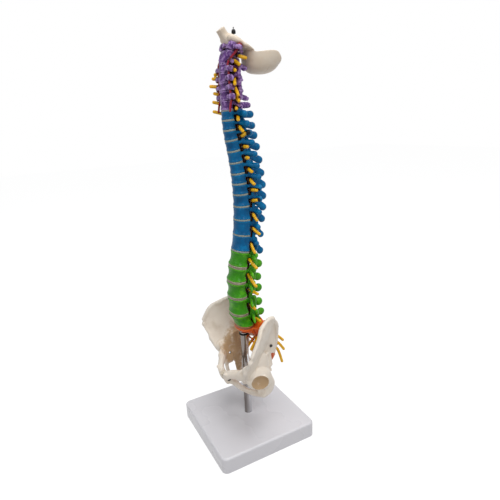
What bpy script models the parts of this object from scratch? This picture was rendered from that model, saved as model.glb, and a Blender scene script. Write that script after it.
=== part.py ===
"""Half-size teaching model of a human spine on a display stand.

Lengths are written in millimetres and become metres when an object is made. Z is up, the model
faces -Y, its left side is +X, and the origin is the middle of the underside of the base.
"""

from math import atan2, cos, pi, sin
from typing import NamedTuple

import bmesh
import bpy
from mathutils import Matrix, Vector

MM = 0.001
CLEAR = 0.36  # air between two neighbouring mouldings
WELD = 1e-4  # points nearer than this are one point
SMOOTH_UNDER = 38.0  # edges sharper than this many degrees stay sharp

# Display stand
BASE_SIZE = 120.0
BASE_HEIGHT = 18.8
BASE_CORNER = 6.6
BASE_FILLET = 2.5
BASE_WALL = 2.6
BOSS_RADIUS = 8.5
BOSS_FOOT = 4.6
RIB = 1.8
ROD_RADIUS = 4.5
ROD_Y = 2.5
ROD_TOP = 129.4
ROD_SEAT = 8.0
RIB_DEEP = 8.0
RING_DROP = 3.0  # middle of the ring under the rod's top
RING_Z = ROD_TOP - RING_DROP
RING_RADIUS = 6.0
RING_HEIGHT = 1.6
SCREW_RADIUS = 1.6
SCREW_REACH = 10.0  # how far the screw enters the rod
HEAD_RADIUS = 3.1
HEAD_HEIGHT = 2.0
SLIP = 0.05  # added to a clearance round a faceted bar

# Flexible core that strings the bones together
CORE_RADIUS = 1.2
CORE_HOLE = 1.8
DISC_HOLE = 1.4  # wider in a disc, where the core bends
CORE_PLUG = 16.0
CORE_END = (6.8, 11.2)  # y and z from the foot of the dens
CORE_TILT = 0.8  # the edge of the core's slanting end above its middle
DENS_CORE = 4.4  # straight length of the core inside the dens
STOPPER_RADIUS = 2.1
STOPPER_HEIGHT = 4.2
STOPPER_FORM = ((0.0, 0.8), (0.25, 1.0), (0.7, 1.0), (1.0, 0.6))  # share of the height and of the radius
EYE_RADIUS = 0.9
EYE_HOLE = 0.4
EYE_HALF = 0.4

# Spinal cord and the nerves that leave it
CORD_RADIUS = 2.5
CORD_END = ((8.7, 2.5), (9.1, 6.5))  # y and z from the foot of the dens
CORD_TAIL = (0.5, 0.7, 0.8, 0.9)  # share of the radius in the sacral canal
CORD_TIP = 0.7
ROOT_RADIUS = 1.75
SACRAL_ROOT_RADIUS = 1.5
ARTERY_RADIUS = 1.1
ROOM = 0.48  # a hole is this much wider than the faceted strand in it

# Column: where the lowest disc sits and how it leans
SACRAL_DISC_RISE = 9.3  # above the rod's top
SACRAL_DISC_Z = ROD_TOP + SACRAL_DISC_RISE
SACRAL_DISC_LEAN = 18.0


class Level(NamedTuple):
    """One free vertebra with the disc under it."""

    name: str
    pitch: float  # from the disc under it to the disc on it
    back: float  # y of the disc under it
    half_width: float
    half_depth: float
    spine_back: float  # tip of the spinous process behind the body's centre
    spine_drop: float
    spine_deep: float
    wing_out: float  # tip of the transverse process
    wing_back: float
    wing_drop: float


LEVELS = (
    Level("L5", 16.9, 3.0, 14.2, 10.0, 30.0, 3.5, 3.9, 20.5, 7.5, 0.0),
    Level("L4", 20.4, -2.6, 14.2, 10.2, 31.0, 6.0, 4.4, 21.0, 8.0, 0.0),
    Level("L3", 18.2, -3.3, 14.3, 10.2, 31.5, 7.5, 4.4, 22.0, 8.0, 0.0),
    Level("L2", 16.7, -3.2, 13.8, 10.0, 31.0, 8.0, 4.1, 21.0, 8.5, 0.0),
    Level("L1", 17.7, -0.5, 13.2, 9.7, 30.0, 8.5, 4.1, 19.5, 9.5, 0.0),
    Level("T12", 17.7, 3.6, 12.6, 9.4, 28.0, 9.0, 3.8, 12.5, 14.5, 2.0),
    Level("T11", 17.0, 6.5, 11.8, 9.1, 26.5, 10.5, 3.3, 13.0, 15.0, 2.0),
    Level("T10", 14.6, 7.9, 10.9, 8.9, 27.0, 12.5, 2.8, 14.0, 16.0, 2.0),
    Level("T9", 12.9, 8.3, 10.0, 8.6, 28.5, 14.5, 2.6, 14.5, 17.0, 2.0),
    Level("T8", 11.4, 8.0, 9.2, 8.3, 29.0, 15.5, 2.5, 15.0, 17.5, 2.5),
    Level("T7", 10.8, 7.3, 8.7, 8.0, 29.5, 15.5, 2.5, 15.0, 18.0, 3.0),
    Level("T6", 11.5, 6.2, 8.3, 7.7, 29.5, 14.4, 2.45, 15.0, 18.0, 3.0),
    Level("T5", 11.8, 4.7, 8.0, 7.4, 29.5, 12.5, 2.5, 15.0, 17.5, 3.0),
    Level("T4", 10.9, 2.8, 7.7, 7.1, 29.5, 10.0, 2.5, 15.0, 17.0, 2.5),
    Level("T3", 9.9, 0.8, 7.6, 6.9, 29.5, 7.5, 2.4, 15.0, 16.5, 2.5),
    Level("T2", 9.6, -0.7, 7.5, 6.6, 29.5, 5.0, 2.3, 15.0, 15.0, 2.0),
    Level("T1", 9.2, -1.5, 7.5, 6.4, 29.0, 2.0, 2.2, 15.5, 12.5, 1.0),
    Level("C7", 10.1, -1.9, 7.5, 6.1, 26.0, 2.0, 2.1, 15.5, 6.0, 1.0),
    Level("C6", 9.0, -2.3, 7.2, 5.9, 22.5, 2.5, 1.8, 15.8, -0.4, 1.8),
    Level("C5", 8.0, -2.5, 6.9, 5.7, 19.5, 2.5, 1.6, 15.2, -0.4, 1.6),
    Level("C4", 8.5, -2.6, 6.6, 5.5, 18.0, 2.5, 1.6, 14.8, -0.4, 1.6),
    Level("C3", 8.2, -2.45, 6.2, 5.3, 16.5, 3.0, 1.6, 14.1, -0.3, 1.7),
    Level("C2", 0.0, -2.0, 5.9, 5.1, 0.0, 0.0, 0.0, 0.0, 0.0, 0.0),
)


class Region(NamedTuple):
    """What the vertebrae of one region share."""

    canal_x: float
    canal_y: float
    wall: float
    disc: float
    facet_wide: float
    spine_across: float
    wing_deep: float
    wing_high: float
    paint: str


REGIONS = {
    "C": Region(5.0, 3.7, 1.6, 1.1, 2.2, 1.5, 2.9, 1.4, "purple"),
    "T": Region(4.4, 3.9, 1.8, 1.4, 2.2, 1.3, 2.2, 2.2, "blue"),
    "L": Region(5.5, 4.2, 2.3, 2.6, 2.9, 1.8, 1.7, 2.3, "green"),
}
BODY_SIDES = 10
ARCH_SIDES = 8
FLAT_REAR = 0.8  # share of a disc's half depth at which its rear is flat
WAIST = 0.87
WAIST_REAR = 0.92
WAIST_HALF = 0.15  # of the height between two discs
FACET_BACK = 3.1
FACET_THICK = 2.2
ARCH_DROP = 0.32
Y_SIDE = (0.0, 1.0, 0.0)

# Head joint: C2 with its dens, C1 round it, and the piece of skull on top
DENS_RISE = 14.3  # foot of the dens above the disc under C2
DENS_BACK = 5.2
DENS_FOOT = (LEVELS[-1].back + DENS_BACK, SACRAL_DISC_Z + sum(row.pitch for row in LEVELS) + DENS_RISE)
DENS = ((2.9, 9.0), (2.7, 17.0), (2.0, 18.6))  # radius and height
AXIS_BODY = ((5.3, 4.5, 5.0, 0.9), (4.6, 4.0, 10.0, None))  # half width, half depth, height, flat rear
AXIS_ARCH = (-2.6, -1.0, 1.0)  # low edge, high edge and drop to the rear
AXIS_SHOULDERS = ((4.4, 0.0, 4.0, 2.8, 3.4), (7.0, 0.4, 3.0, 3.8))
AXIS_WING = ((4.4, 0.6, 3.0), (13.4, 1.2, 1.4), 2.9, 1.7)
AXIS_SPINE = ((0.0, 4.3, -3.6), 1.7, 2.6)
AXIS_SPINE_TIP = (17.8, -19.6)  # y and z from the foot of the dens
AXIS_ROOT = ((10.0, 15.0, -10.7), (8.6, 11.8, -9.6), (6.2, 7.4, -8.2))  # from the foot of the dens
ATLAS_LEAN = -20.0
ATLAS_CANAL = 8.4
ATLAS_RING = (10.6, 5.0, 1.8)  # radius, y of its centre, half height
ATLAS_HOLE = (6.9, 8.5, 5.1)
ATLAS_MASS = 7.4  # height of a lateral mass
ATLAS_MASS_HALF = (2.8, 4.2)
ATLAS_MASS_PLACE = (8.2, 1.0)
ATLAS_WING = ((8.8, 3.6, 0.0), (18.8, 4.4, -0.8), 2.7, 1.6)
DENS_ROOM = 3.5
FORAMEN = (DENS_FOOT[0] + 7.8, DENS_FOOT[1] + 5.5)
FORAMEN_LEAN = -30.0
FORAMEN_RIM = (11.5, 12.0, 2.0)  # half width, half depth, half height
FORAMEN_HOLE = (7.2, 8.0)
CONDYLE = ((8.2, 1.0, 0.0, 2.4, 3.4), (8.6, 1.2, 3.4, 3.0, 4.4))  # above its seat on C1
BASILAR = ((0.0, -9.3, 1.1), (0.0, -15.0, 10.5), ((0.0, 3.4, 3.7), (1.0, 3.6, 3.9)))  # from the foramen
BOWL_NECK = ((8.5, 2.0, -2.0), (14.5, 15.0, -11.0), ((0.0, 3.0, 2.6), (1.0, 3.0, 2.2)))
BOWL = (FORAMEN[0] + 29.2, FORAMEN[1] - 10.5)
BOWL_HALF = (22.0, 19.8, 21.0)
BOWL_WALL = 2.2
BOWL_FALL = 0.15
BOWL_ROWS = ((-0.99, 0.12), (-0.86, 0.51), (-0.55, 0.835), (-0.05, 1.0))  # shares of the height and width
BOWL_RIM = -0.2  # rows above this share slope down to the rear

# Tip of each nerve root from the centre of its disc: out, back, up
ROOT_TIPS = {
    "C3": (13.0, 9.6, -1.6),
    "C4": (15.0, 6.2, 0.9),
    "C5": (16.0, 4.0, -4.6),
    "C6": (17.0, 5.4, -5.6),
    "C7": (17.0, 6.0, -2.5),
    "C8": (16.0, 5.2, 0.4),
    "T1": (14.0, 6.6, 0.8),
    "T2": (14.0, 8.2, -2.0),
    "T3": (14.0, 11.4, 5.6),
    "T4": (14.0, 10.2, 3.8),
    "T5": (14.0, 8.6, 3.4),
    "T6": (14.0, 10.6, 1.0),
    "T7": (14.0, 11.4, -1.4),
    "T8": (14.0, 12.0, 2.8),
    "T9": (14.0, 12.0, 4.4),
    "T10": (14.0, 12.0, -1.4),
    "T11": (15.0, 13.6, 0.0),
    "T12": (16.0, 11.0, -2.0),
    "L1": (18.0, 13.5, -1.6),
    "L2": (19.0, 14.5, -4.5),
    "L3": (20.0, 14.5, 3.0),
    "L4": (20.0, 11.8, 6.0),
    "L5": (20.0, 11.0, 6.0),
}
ROOT_NAMES = {"C3": "C4", "C4": "C5", "C5": "C6", "C6": "C7", "C7": "C8"}
ROOT_NAMES.update({f"T{k}": f"T{k}" for k in range(1, 13)})
ROOT_NAMES.update({f"L{k}": f"L{k}" for k in range(1, 6)})

# Course of the left vertebral artery: its free end from the disc under T1, how far out it passes
# each disc, and its loop round the mass of C1
ARTERY_FOOT = (13.5, -1.0, 4.0)
ARTERY_OUT = (("C7", 13.3), ("C6", 13.0), ("C5", 12.4), ("C4", 11.9), ("C3", 11.3), ("C2", 10.8))
ARTERY_FRONT = 0.9
ARTERY_LOOP = ((13.4, 3.8, -2.4), (13.4, 4.0, 2.4), (12.2, 6.4, 3.7), (9.4, 8.6, 3.6))

# Pelvis. Its heights are measured from a level under the rod's top
PELVIS_DROP = 29.4
PELVIS_Z = ROD_TOP - PELVIS_DROP

# Sacral roots: out, then the canal, front knee, front tip, rear knee and rear tip as (y, z)
SACRAL_ROOTS = (
    (12.0, (21.5, 29.5), (10.5, 22.0), (4.0, 13.0), (40.0, 17.5), (49.5, 8.0)),
    (11.0, (28.5, 16.5), (16.0, 9.0), (8.5, 0.5), (41.5, 7.5), (51.0, -5.5)),
    (9.5, (33.5, 5.0), (23.5, -0.5), (17.0, -8.5), (42.0, -2.5), (48.5, -23.0)),
)

# Sacrum and coccyx sections: y, z, lean, half width, half depth
SACRUM = (
    (12.5, 38.0, 25.0, 20.5, 12.0),
    (19.5, 25.5, 31.0, 20.8, 11.5),
    (27.0, 12.5, 30.0, 18.0, 10.0),
    (33.0, 0.0, 24.0, 14.0, 7.5),
    (36.0, -10.0, 8.0, 10.0, 5.0),
    (35.0, -18.0, -16.0, 5.5, 3.4),
    (31.0, -24.5, -34.0, 2.6, 2.0),
)
SACRAL_CREST = ((0.0, 26.0, 38.0), (0.0, 42.0, 6.0), ((0.0, 1.6, 4.0), (1.0, 1.6, 3.0)))
PROMONTORY = 12.0
PROMONTORY_TAPER = 1.0
SACRAL_CANAL = ((14.0, 46.5), (18.4, 36.5), (21.5, 29.5), (28.5, 16.5), (33.5, 5.0), (36.5, -6.0))
SACRAL_CANAL_HALF = ((5.2, 3.6), (5.4, 3.6), (10.5, 3.4), (9.5, 3.2), (8.0, 2.8), (5.0, 2.4))
SACRAL_CANAL_LEAN = 30.0
ROD_GUARD = 0.2  # more air round the rod where it enters the sacrum
JOINT_SCREW = (21.8, PELVIS_Z + 17.4)
JOINT_SCREW_X = (15.5, 29.5)
PUBIC_SCREW = (-24.5, PELVIS_Z - 21.5)
PUBIC_SCREW_X = 9.4
PUBIC_SHANK = 1.1
PUBIC_HEAD = 2.2
PUBIC_HEAD_HEIGHT = 1.4

# Ilium, as the middle surface of its plate: columns run from the rear border to the front one
ILIUM = (
    ((20.6, 33.0, 4.5), (22.8, 35.0, 12.0), (24.6, 36.0, 22.0), (26.0, 35.0, 32.0), (30.0, 30.0, 43.5)),
    ((24.8, 22.0, 9.0), (25.6, 24.0, 16.5), (26.8, 25.0, 26.5), (29.5, 25.0, 38.5), (34.5, 22.5, 53.0)),
    ((26.2, 11.0, 6.5), (26.8, 12.5, 15.0), (30.0, 14.5, 26.5), (35.0, 16.0, 41.5), (39.5, 17.5, 58.5)),
    ((32.5, 0.5, -1.5), (33.5, 2.0, 11.0), (37.0, 4.0, 25.0), (39.8, 5.5, 40.5), (41.5, 6.5, 58.5)),
    ((38.0, -11.0, -4.5), (41.5, -10.5, 7.5), (44.8, -9.5, 21.0), (46.8, -8.0, 36.0), (46.0, -6.5, 53.5)),
    ((40.0, -20.5, -4.0), (46.0, -22.0, 7.0), (53.0, -25.0, 15.5), (57.5, -26.5, 23.5), (54.5, -20.0, 41.0)),
)
ILIUM_THICK = (6.0, 5.2, 4.2, 3.6, 4.6)
SOCKET = (43.5, -1.6, -13.6)
SOCKET_RADIUS = 10.6
SOCKET_BODY = (38.0, -0.5, -11.5)
SOCKET_BODY_RADIUS = 13.0
PUBIS_X = 2.2
PUBIS_OUT = 8.6
PUBIS_LOW = (-30.0, PELVIS_Z - 28.0)  # y and z of two corners of the joint's face
PUBIS_HIGH = (-20.5, PELVIS_Z - 13.5)

# Bars of the hip bone: start, end, profile, and the direction of its width
ISCHIUM_UPPER = ((32.0, 9.0, -12.0), (30.0, 18.5, -31.0), ((0.0, 6.0, 8.0), (1.0, 4.5, 6.5)), (1.0, 0.0, 0.0))
ISCHIUM_LOWER = (
    (30.0, 17.5, -27.0), (25.5, 13.0, -47.0), ((0.0, 4.8, 6.6), (0.8, 4.6, 5.6), (1.0, 3.0, 4.0)),
    (1.0, 0.0, 0.0),
)
RAMUS_REAR = ((26.5, 12.0, -44.0), (10.0, -8.5, -39.5), ((0.0, 3.2, 4.0), (1.0, 2.6, 3.2)), Y_SIDE)
RAMUS_FRONT = ((11.0, -7.5, -40.0), (6.2, -19.0, -26.0), ((0.0, 2.6, 3.2), (1.0, 3.4, 3.6)), (1.0, 0.0, 0.0))
PUBIS_REAR = ((36.0, -8.0, -10.0), (18.0, -20.5, -11.5), ((0.0, 5.0, 5.5), (1.0, 3.6, 3.8)), Y_SIDE)
PUBIS_FRONT = ((19.0, -19.8, -11.5), (7.0, -27.5, -17.0), ((0.0, 3.6, 3.8), (1.0, 3.8, 4.6)), Y_SIDE)
ISCHIAL_SPINE = ((27.5, 13.0, -7.0), (28.5, 22.0, -15.5), ((0.0, 4.0, 4.6), (1.0, 2.0, 2.4)), (1.0, 0.0, 0.0))
NOTCH_BORDER = ((30.0, 10.0, -10.0), (27.5, 11.5, 10.0), ((0.0, 4.6, 6.6), (1.0, 2.6, 5.0)), (1.0, 0.0, 0.0))
HIP_BARS = (
    ISCHIUM_UPPER, ISCHIUM_LOWER, RAMUS_REAR, RAMUS_FRONT, PUBIS_REAR, PUBIS_FRONT, ISCHIAL_SPINE, NOTCH_BORDER,
)


# Solids

def level(y, z, lean=0.0):
    """Frame whose +y points to the rear and +z up the column, leaning about X by degrees."""
    return Matrix.Translation((0.0, y, z)) @ Matrix.Rotation(lean * pi / 180.0, 4, "X")


def raised(point):
    """Point of the pelvis at its height above the floor."""
    return (*point[:-1], point[-1] + PELVIS_Z)


def by_dens(y, z, x=0.0):
    """Point measured from the foot of the dens."""
    return Vector((x, DENS_FOOT[0] + y, DENS_FOOT[1] + z))


def by_foramen(x, y, z):
    """Point measured from the middle of the foramen."""
    return Vector((x, FORAMEN[0] + y, FORAMEN[1] + z))


def aim(axis, side):
    """Rotation with z along the axis and x as near the side direction as it can be."""
    up = Vector(axis).normalized()
    across = Vector(side) - up * up.dot(Vector(side))
    across.normalize()
    return Matrix((across, up.cross(across), up)).transposed()


def ring(frame, half_x, half_y, sides, z=0.0, flat=None, shear=0.0):
    """Points of one closed section, cut off flat at the rear when a share is given."""
    points = []
    for k in range(sides):
        turn = 2.0 * pi * (k + 0.5) / sides
        x, y = half_x * cos(turn), half_y * sin(turn)
        if flat is not None:
            y = min(y, flat * half_y)
        points.append(frame @ Vector((x, y, z - shear * (y + half_y))))
    return points


def placed(bm, frame):
    """The solid moved into a frame."""
    bmesh.ops.transform(bm, matrix=frame, verts=bm.verts)
    return bm


def loft(sections):
    """Closed solid through sections of equal counts."""
    bm = bmesh.new()
    rows = [[bm.verts.new(point) for point in section] for section in sections]
    count = len(rows[0])
    for low, high in zip(rows, rows[1:]):
        for k in range(count):
            bm.faces.new((low[k], low[(k + 1) % count], high[(k + 1) % count], high[k]))
    bm.faces.new(list(reversed(rows[0])))
    bm.faces.new(rows[-1])
    bmesh.ops.recalc_face_normals(bm, faces=bm.faces)
    return bm


def bar(start, end, profile, sides=6, side=(1.0, 0.0, 0.0)):
    """Process from start to end. The profile's rows are share along, half across, half deep."""
    start, end = Vector(start), Vector(end)
    turn = aim(end - start, side)
    sections = []
    for share, across, deep in profile:
        origin = start.lerp(end, share)
        section = []
        for k in range(sides):
            angle = 2.0 * pi * (k + 0.5) / sides
            section.append(origin + turn @ Vector((across * cos(angle), deep * sin(angle), 0.0)))
        sections.append(section)
    return loft(sections)


def tube(points, radii, longer=0.0, finer=1):
    """Round strand through the points, its ends pushed out when it is a cutter."""
    points = [Vector(point) for point in points]
    points[0] = points[0] + (points[0] - points[1]).normalized() * longer
    points[-1] = points[-1] + (points[-1] - points[-2]).normalized() * longer
    curve = bpy.data.curves.new("strand", "CURVE")
    curve.dimensions = "3D"
    curve.bevel_depth = 1.0
    curve.bevel_resolution = finer
    curve.use_fill_caps = True
    line = curve.splines.new("POLY")
    line.points.add(len(points) - 1)
    for knot, point, radius in zip(line.points, points, radii):
        knot.co = (*point, 1.0)
        knot.radius = radius
    guide = bpy.data.objects.new("strand", curve)
    bpy.context.scene.collection.objects.link(guide)
    bpy.context.view_layer.update()
    mesh = bpy.data.meshes.new_from_object(guide.evaluated_get(bpy.context.evaluated_depsgraph_get()))
    bm = bmesh.new()
    bm.from_mesh(mesh)
    bmesh.ops.remove_doubles(bm, verts=bm.verts, dist=WELD)
    bmesh.ops.recalc_face_normals(bm, faces=bm.faces)
    bpy.data.objects.remove(guide)
    bpy.data.curves.remove(curve)
    bpy.data.meshes.remove(mesh)
    return bm


def pin(start, end, radius, sides=8):
    """Straight round bar."""
    start, end = Vector(start), Vector(end)
    bm = bmesh.new()
    bmesh.ops.create_cone(
        bm, cap_ends=True, segments=sides, radius1=radius, radius2=radius, depth=(end - start).length
    )
    turn = aim(end - start, (0.3, 1.0, 0.2)).to_4x4()
    return placed(bm, Matrix.Translation((start + end) * 0.5) @ turn)


def block(low, high):
    """Box between two corners."""
    low, high = Vector(low), Vector(high)
    bm = bmesh.new()
    bmesh.ops.create_cube(bm, size=1.0)
    return placed(bm, Matrix.Translation((low + high) * 0.5) @ Matrix.Diagonal((*(high - low), 1.0)))


def ball(centre, radii, frame=None):
    """Faceted ellipsoid."""
    bm = bmesh.new()
    bmesh.ops.create_icosphere(bm, subdivisions=2, radius=1.0)
    place = (frame or Matrix.Identity(4)) @ Matrix.Translation(centre)
    bmesh.ops.transform(bm, matrix=place @ Matrix.Diagonal((*radii, 1.0)), verts=bm.verts)
    return bm


def slab(columns, thickness):
    """Curved plate about a middle surface given as columns of points."""
    wide, tall = len(columns), len(columns[0])
    middle = [[Vector(point) for point in column] for column in columns]
    bm = bmesh.new()
    faces = ([], [])
    for i in range(wide):
        for sheet in faces:
            sheet.append([])
        for j in range(tall):
            along = middle[min(i + 1, wide - 1)][j] - middle[max(i - 1, 0)][j]
            upward = middle[i][min(j + 1, tall - 1)] - middle[i][max(j - 1, 0)]
            normal = along.cross(upward).normalized() * thickness[j] * 0.5
            faces[0][i].append(bm.verts.new(middle[i][j] - normal))
            faces[1][i].append(bm.verts.new(middle[i][j] + normal))
    inner, outer = faces
    for i in range(wide - 1):
        for j in range(tall - 1):
            bm.faces.new((inner[i][j], inner[i + 1][j], inner[i + 1][j + 1], inner[i][j + 1]))
            bm.faces.new((outer[i][j], outer[i][j + 1], outer[i + 1][j + 1], outer[i + 1][j]))
    border = [(i, 0) for i in range(wide)] + [(wide - 1, j) for j in range(1, tall)]
    border += [(i, tall - 1) for i in range(wide - 2, -1, -1)] + [(0, j) for j in range(tall - 2, 0, -1)]
    for (i, j), (m, n) in zip(border, border[1:] + border[:1]):
        bm.faces.new((inner[i][j], outer[i][j], outer[m][n], inner[m][n]))
    bmesh.ops.recalc_face_normals(bm, faces=bm.faces)
    return bm


def mirrored(bm):
    """Copy of a solid on the model's other side."""
    twin = bm.copy()
    bmesh.ops.transform(twin, matrix=Matrix.Scale(-1.0, 4, (1.0, 0.0, 0.0)), verts=twin.verts)
    bmesh.ops.reverse_faces(twin, faces=twin.faces)
    return twin


def both(bm):
    """A solid and its mirror image."""
    return [bm, mirrored(bm)]


# Objects

def to_object(name, bm, collection):
    """Object made from a solid in millimetres."""
    mesh = bpy.data.meshes.new(name)
    bmesh.ops.transform(bm, matrix=Matrix.Scale(MM, 4), verts=bm.verts)
    bm.to_mesh(mesh)
    bm.free()
    obj = bpy.data.objects.new(name, mesh)
    collection.objects.link(obj)
    return obj


class Builder:
    """Makes named objects by uniting solids and cutting others away."""

    def __init__(self, title):
        """Collections for the parts and for what cuts them."""
        self.parts = bpy.data.collections.new(title)
        self.cutters = bpy.data.collections.new("Cutters")
        for collection in (self.parts, self.cutters):
            bpy.context.scene.collection.children.link(collection)
        self.cutters.hide_render = True

    def combine(self, obj, solids, operation):
        """Boolean of an object with several solids, one after another."""
        for solid in solids:
            tool = to_object("tool", solid, self.cutters)
            tool.display_type = "WIRE"
            step = obj.modifiers.new(operation.lower(), "BOOLEAN")
            step.operation, step.solver, step.object = operation, "EXACT", tool
            bpy.context.view_layer.update()
            done = bpy.data.meshes.new_from_object(obj.evaluated_get(bpy.context.evaluated_depsgraph_get()))
            obj.modifiers.clear()
            old, obj.data = obj.data, done
            bpy.data.meshes.remove(old)
            bpy.data.objects.remove(tool)

    def part(self, name, paint, solids, cuts=()):
        """One finished piece."""
        obj = to_object(name, solids[0], self.parts)
        self.combine(obj, solids[1:], "UNION")
        self.combine(obj, cuts, "DIFFERENCE")
        return self.finish(obj, name, paint)

    def finish(self, obj, name, paint):
        """Clean the mesh and give it its own material."""
        bm = bmesh.new()
        bm.from_mesh(obj.data)
        bmesh.ops.remove_doubles(bm, verts=bm.verts, dist=WELD * MM)
        bmesh.ops.dissolve_degenerate(bm, edges=bm.edges, dist=WELD * MM)
        bm.to_mesh(obj.data)
        bm.free()
        obj.data.name = name
        obj.data.materials.clear()
        obj.data.materials.append(PAINTS[paint](name))
        obj.data.shade_smooth()
        obj.data.set_sharp_from_angle(angle=SMOOTH_UNDER * pi / 180.0)
        return obj


def paint(colour, roughness, metallic=0.0):
    """Maker of a part's own material."""

    def make(name):
        material = bpy.data.materials.new(name)
        material.use_nodes = True
        shader = material.node_tree.nodes["Principled BSDF"]
        shader.inputs["Base Color"].default_value = (*colour, 1.0)
        shader.inputs["Roughness"].default_value = roughness
        shader.inputs["Metallic"].default_value = metallic
        material.diffuse_color = (*colour, 1.0)
        return material

    return make


PAINTS = {
    "white": paint((0.80, 0.81, 0.83), 0.35),
    "chrome": paint((0.75, 0.75, 0.76), 0.12, 1.0),
    "steel": paint((0.50, 0.47, 0.43), 0.35, 1.0),
    "black": paint((0.02, 0.02, 0.02), 0.5),
    "bone": paint((0.68, 0.60, 0.53), 0.45),
    "purple": paint((0.11, 0.03, 0.19), 0.4),
    "blue": paint((0.005, 0.10, 0.30), 0.4),
    "green": paint((0.045, 0.26, 0.01), 0.4),
    "orange": paint((0.51, 0.06, 0.005), 0.4),
    "disc": paint((0.30, 0.30, 0.27), 0.5),
    "yellow": paint((0.83, 0.43, 0.02), 0.4),
    "crimson": paint((0.35, 0.003, 0.02), 0.4),
}


# Column layout

class Joint(NamedTuple):
    """Disc between two vertebrae."""

    frame: Matrix
    centre: Vector
    half_width: float
    half_depth: float
    canal: Vector
    region: Region


def canal_back(half_depth, region):
    """Centre of the canal behind the centre of a disc."""
    return 0.8 * half_depth + region.canal_y + 0.4


def joints():
    """The discs from L5/S1 up to C2/3."""
    heights = [SACRAL_DISC_Z]
    for row in LEVELS[:-1]:
        heights.append(heights[-1] + row.pitch)
    found = []
    for i, row in enumerate(LEVELS):
        low, high = max(i - 1, 0), min(i + 1, len(LEVELS) - 1)
        lean = -atan2(LEVELS[high].back - LEVELS[low].back, heights[high] - heights[low]) * 180.0 / pi
        if i == 0:
            lean = SACRAL_DISC_LEAN
        frame = level(row.back, heights[i], lean)
        region = REGIONS[row.name[0]]
        canal = frame @ Vector((0.0, canal_back(row.half_depth, region), 0.0))
        found.append(Joint(frame, frame.translation.copy(), row.half_width, row.half_depth, canal, region))
    return found


def between(low, high):
    """Frame half-way from one point to another, with +z towards the second."""
    step = high - low
    middle = (low + high) * 0.5
    return level(middle.y, middle.z, -atan2(step.y, step.z) * 180.0 / pi)


# Vertebrae

def stack(frame, rows, sides=6):
    """Solid through level sections, each given as x, y, z, half width and half depth."""
    sections = []
    for x, y, z, wide, deep in rows:
        sections.append(ring(frame @ Matrix.Translation((x, y, z)), wide, deep, sides))
    return loft(sections)


def taper(across, deep, tip=0.6):
    """Profile of a process that ends in a blunt tip."""
    return ((0.0, across, deep), (0.8, across * 0.95, deep), (1.0, across * tip, deep * tip))


def body(low, high, gap_low, gap_high):
    """Waisted vertebral body between two discs, flat at the rear."""
    middle = between(low.centre, high.centre)
    width = 0.5 * (low.half_width + high.half_width)
    depth = 0.5 * (low.half_depth + high.half_depth)
    rise = WAIST_HALF * (high.centre - low.centre).length
    return loft(
        [
            ring(low.frame, low.half_width, low.half_depth, BODY_SIDES, gap_low, FLAT_REAR),
            ring(middle, width * WAIST, depth * WAIST, BODY_SIDES, -rise, WAIST_REAR),
            ring(middle, width * WAIST, depth * WAIST, BODY_SIDES, rise, WAIST_REAR),
            ring(high.frame, high.half_width, high.half_depth, BODY_SIDES, -gap_high, FLAT_REAR),
        ]
    )


def arch(frame, region, low, high, drop):
    """Pedicles and laminae as one ring, lower at the rear than at the front."""
    out_x, out_y = region.canal_x + region.wall, region.canal_y + region.wall
    slope = drop / (2.0 * out_y)
    return loft(
        [
            ring(frame, out_x, out_y, ARCH_SIDES, low, shear=slope),
            ring(frame, out_x, out_y, ARCH_SIDES, high, shear=slope * 0.4),
        ]
    )


def facets(joint, pitch, upper):
    """Pair of articular processes at a disc: in front on the lower vertebra, behind on the upper."""
    region = joint.region
    x = region.canal_x * 0.96
    y = canal_back(joint.half_depth, region) + FACET_BACK
    half = FACET_THICK * 0.5
    if upper:
        low, high = (x, y + half, 0.02 * pitch), (x, y + 0.4 + half, 0.42 * pitch)
    else:
        low, high = (x, y - 0.4 - half, -0.44 * pitch), (x, y - 0.2 - half, 0.16 * pitch)
    profile = ((0.0, region.facet_wide, half), (1.0, region.facet_wide, half))
    return both(placed(bar(low, high, profile, 4), joint.frame))


def tunnel(low, high, half_x, half_y, sides=ARCH_SIDES, reach=0.4):
    """Cutter that follows the line between two points and runs past both."""
    frame = between(low, high)
    half = (0.5 + reach) * (high - low).length
    return loft([ring(frame, half_x, half_y, sides, z) for z in (-half, half)])


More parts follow.
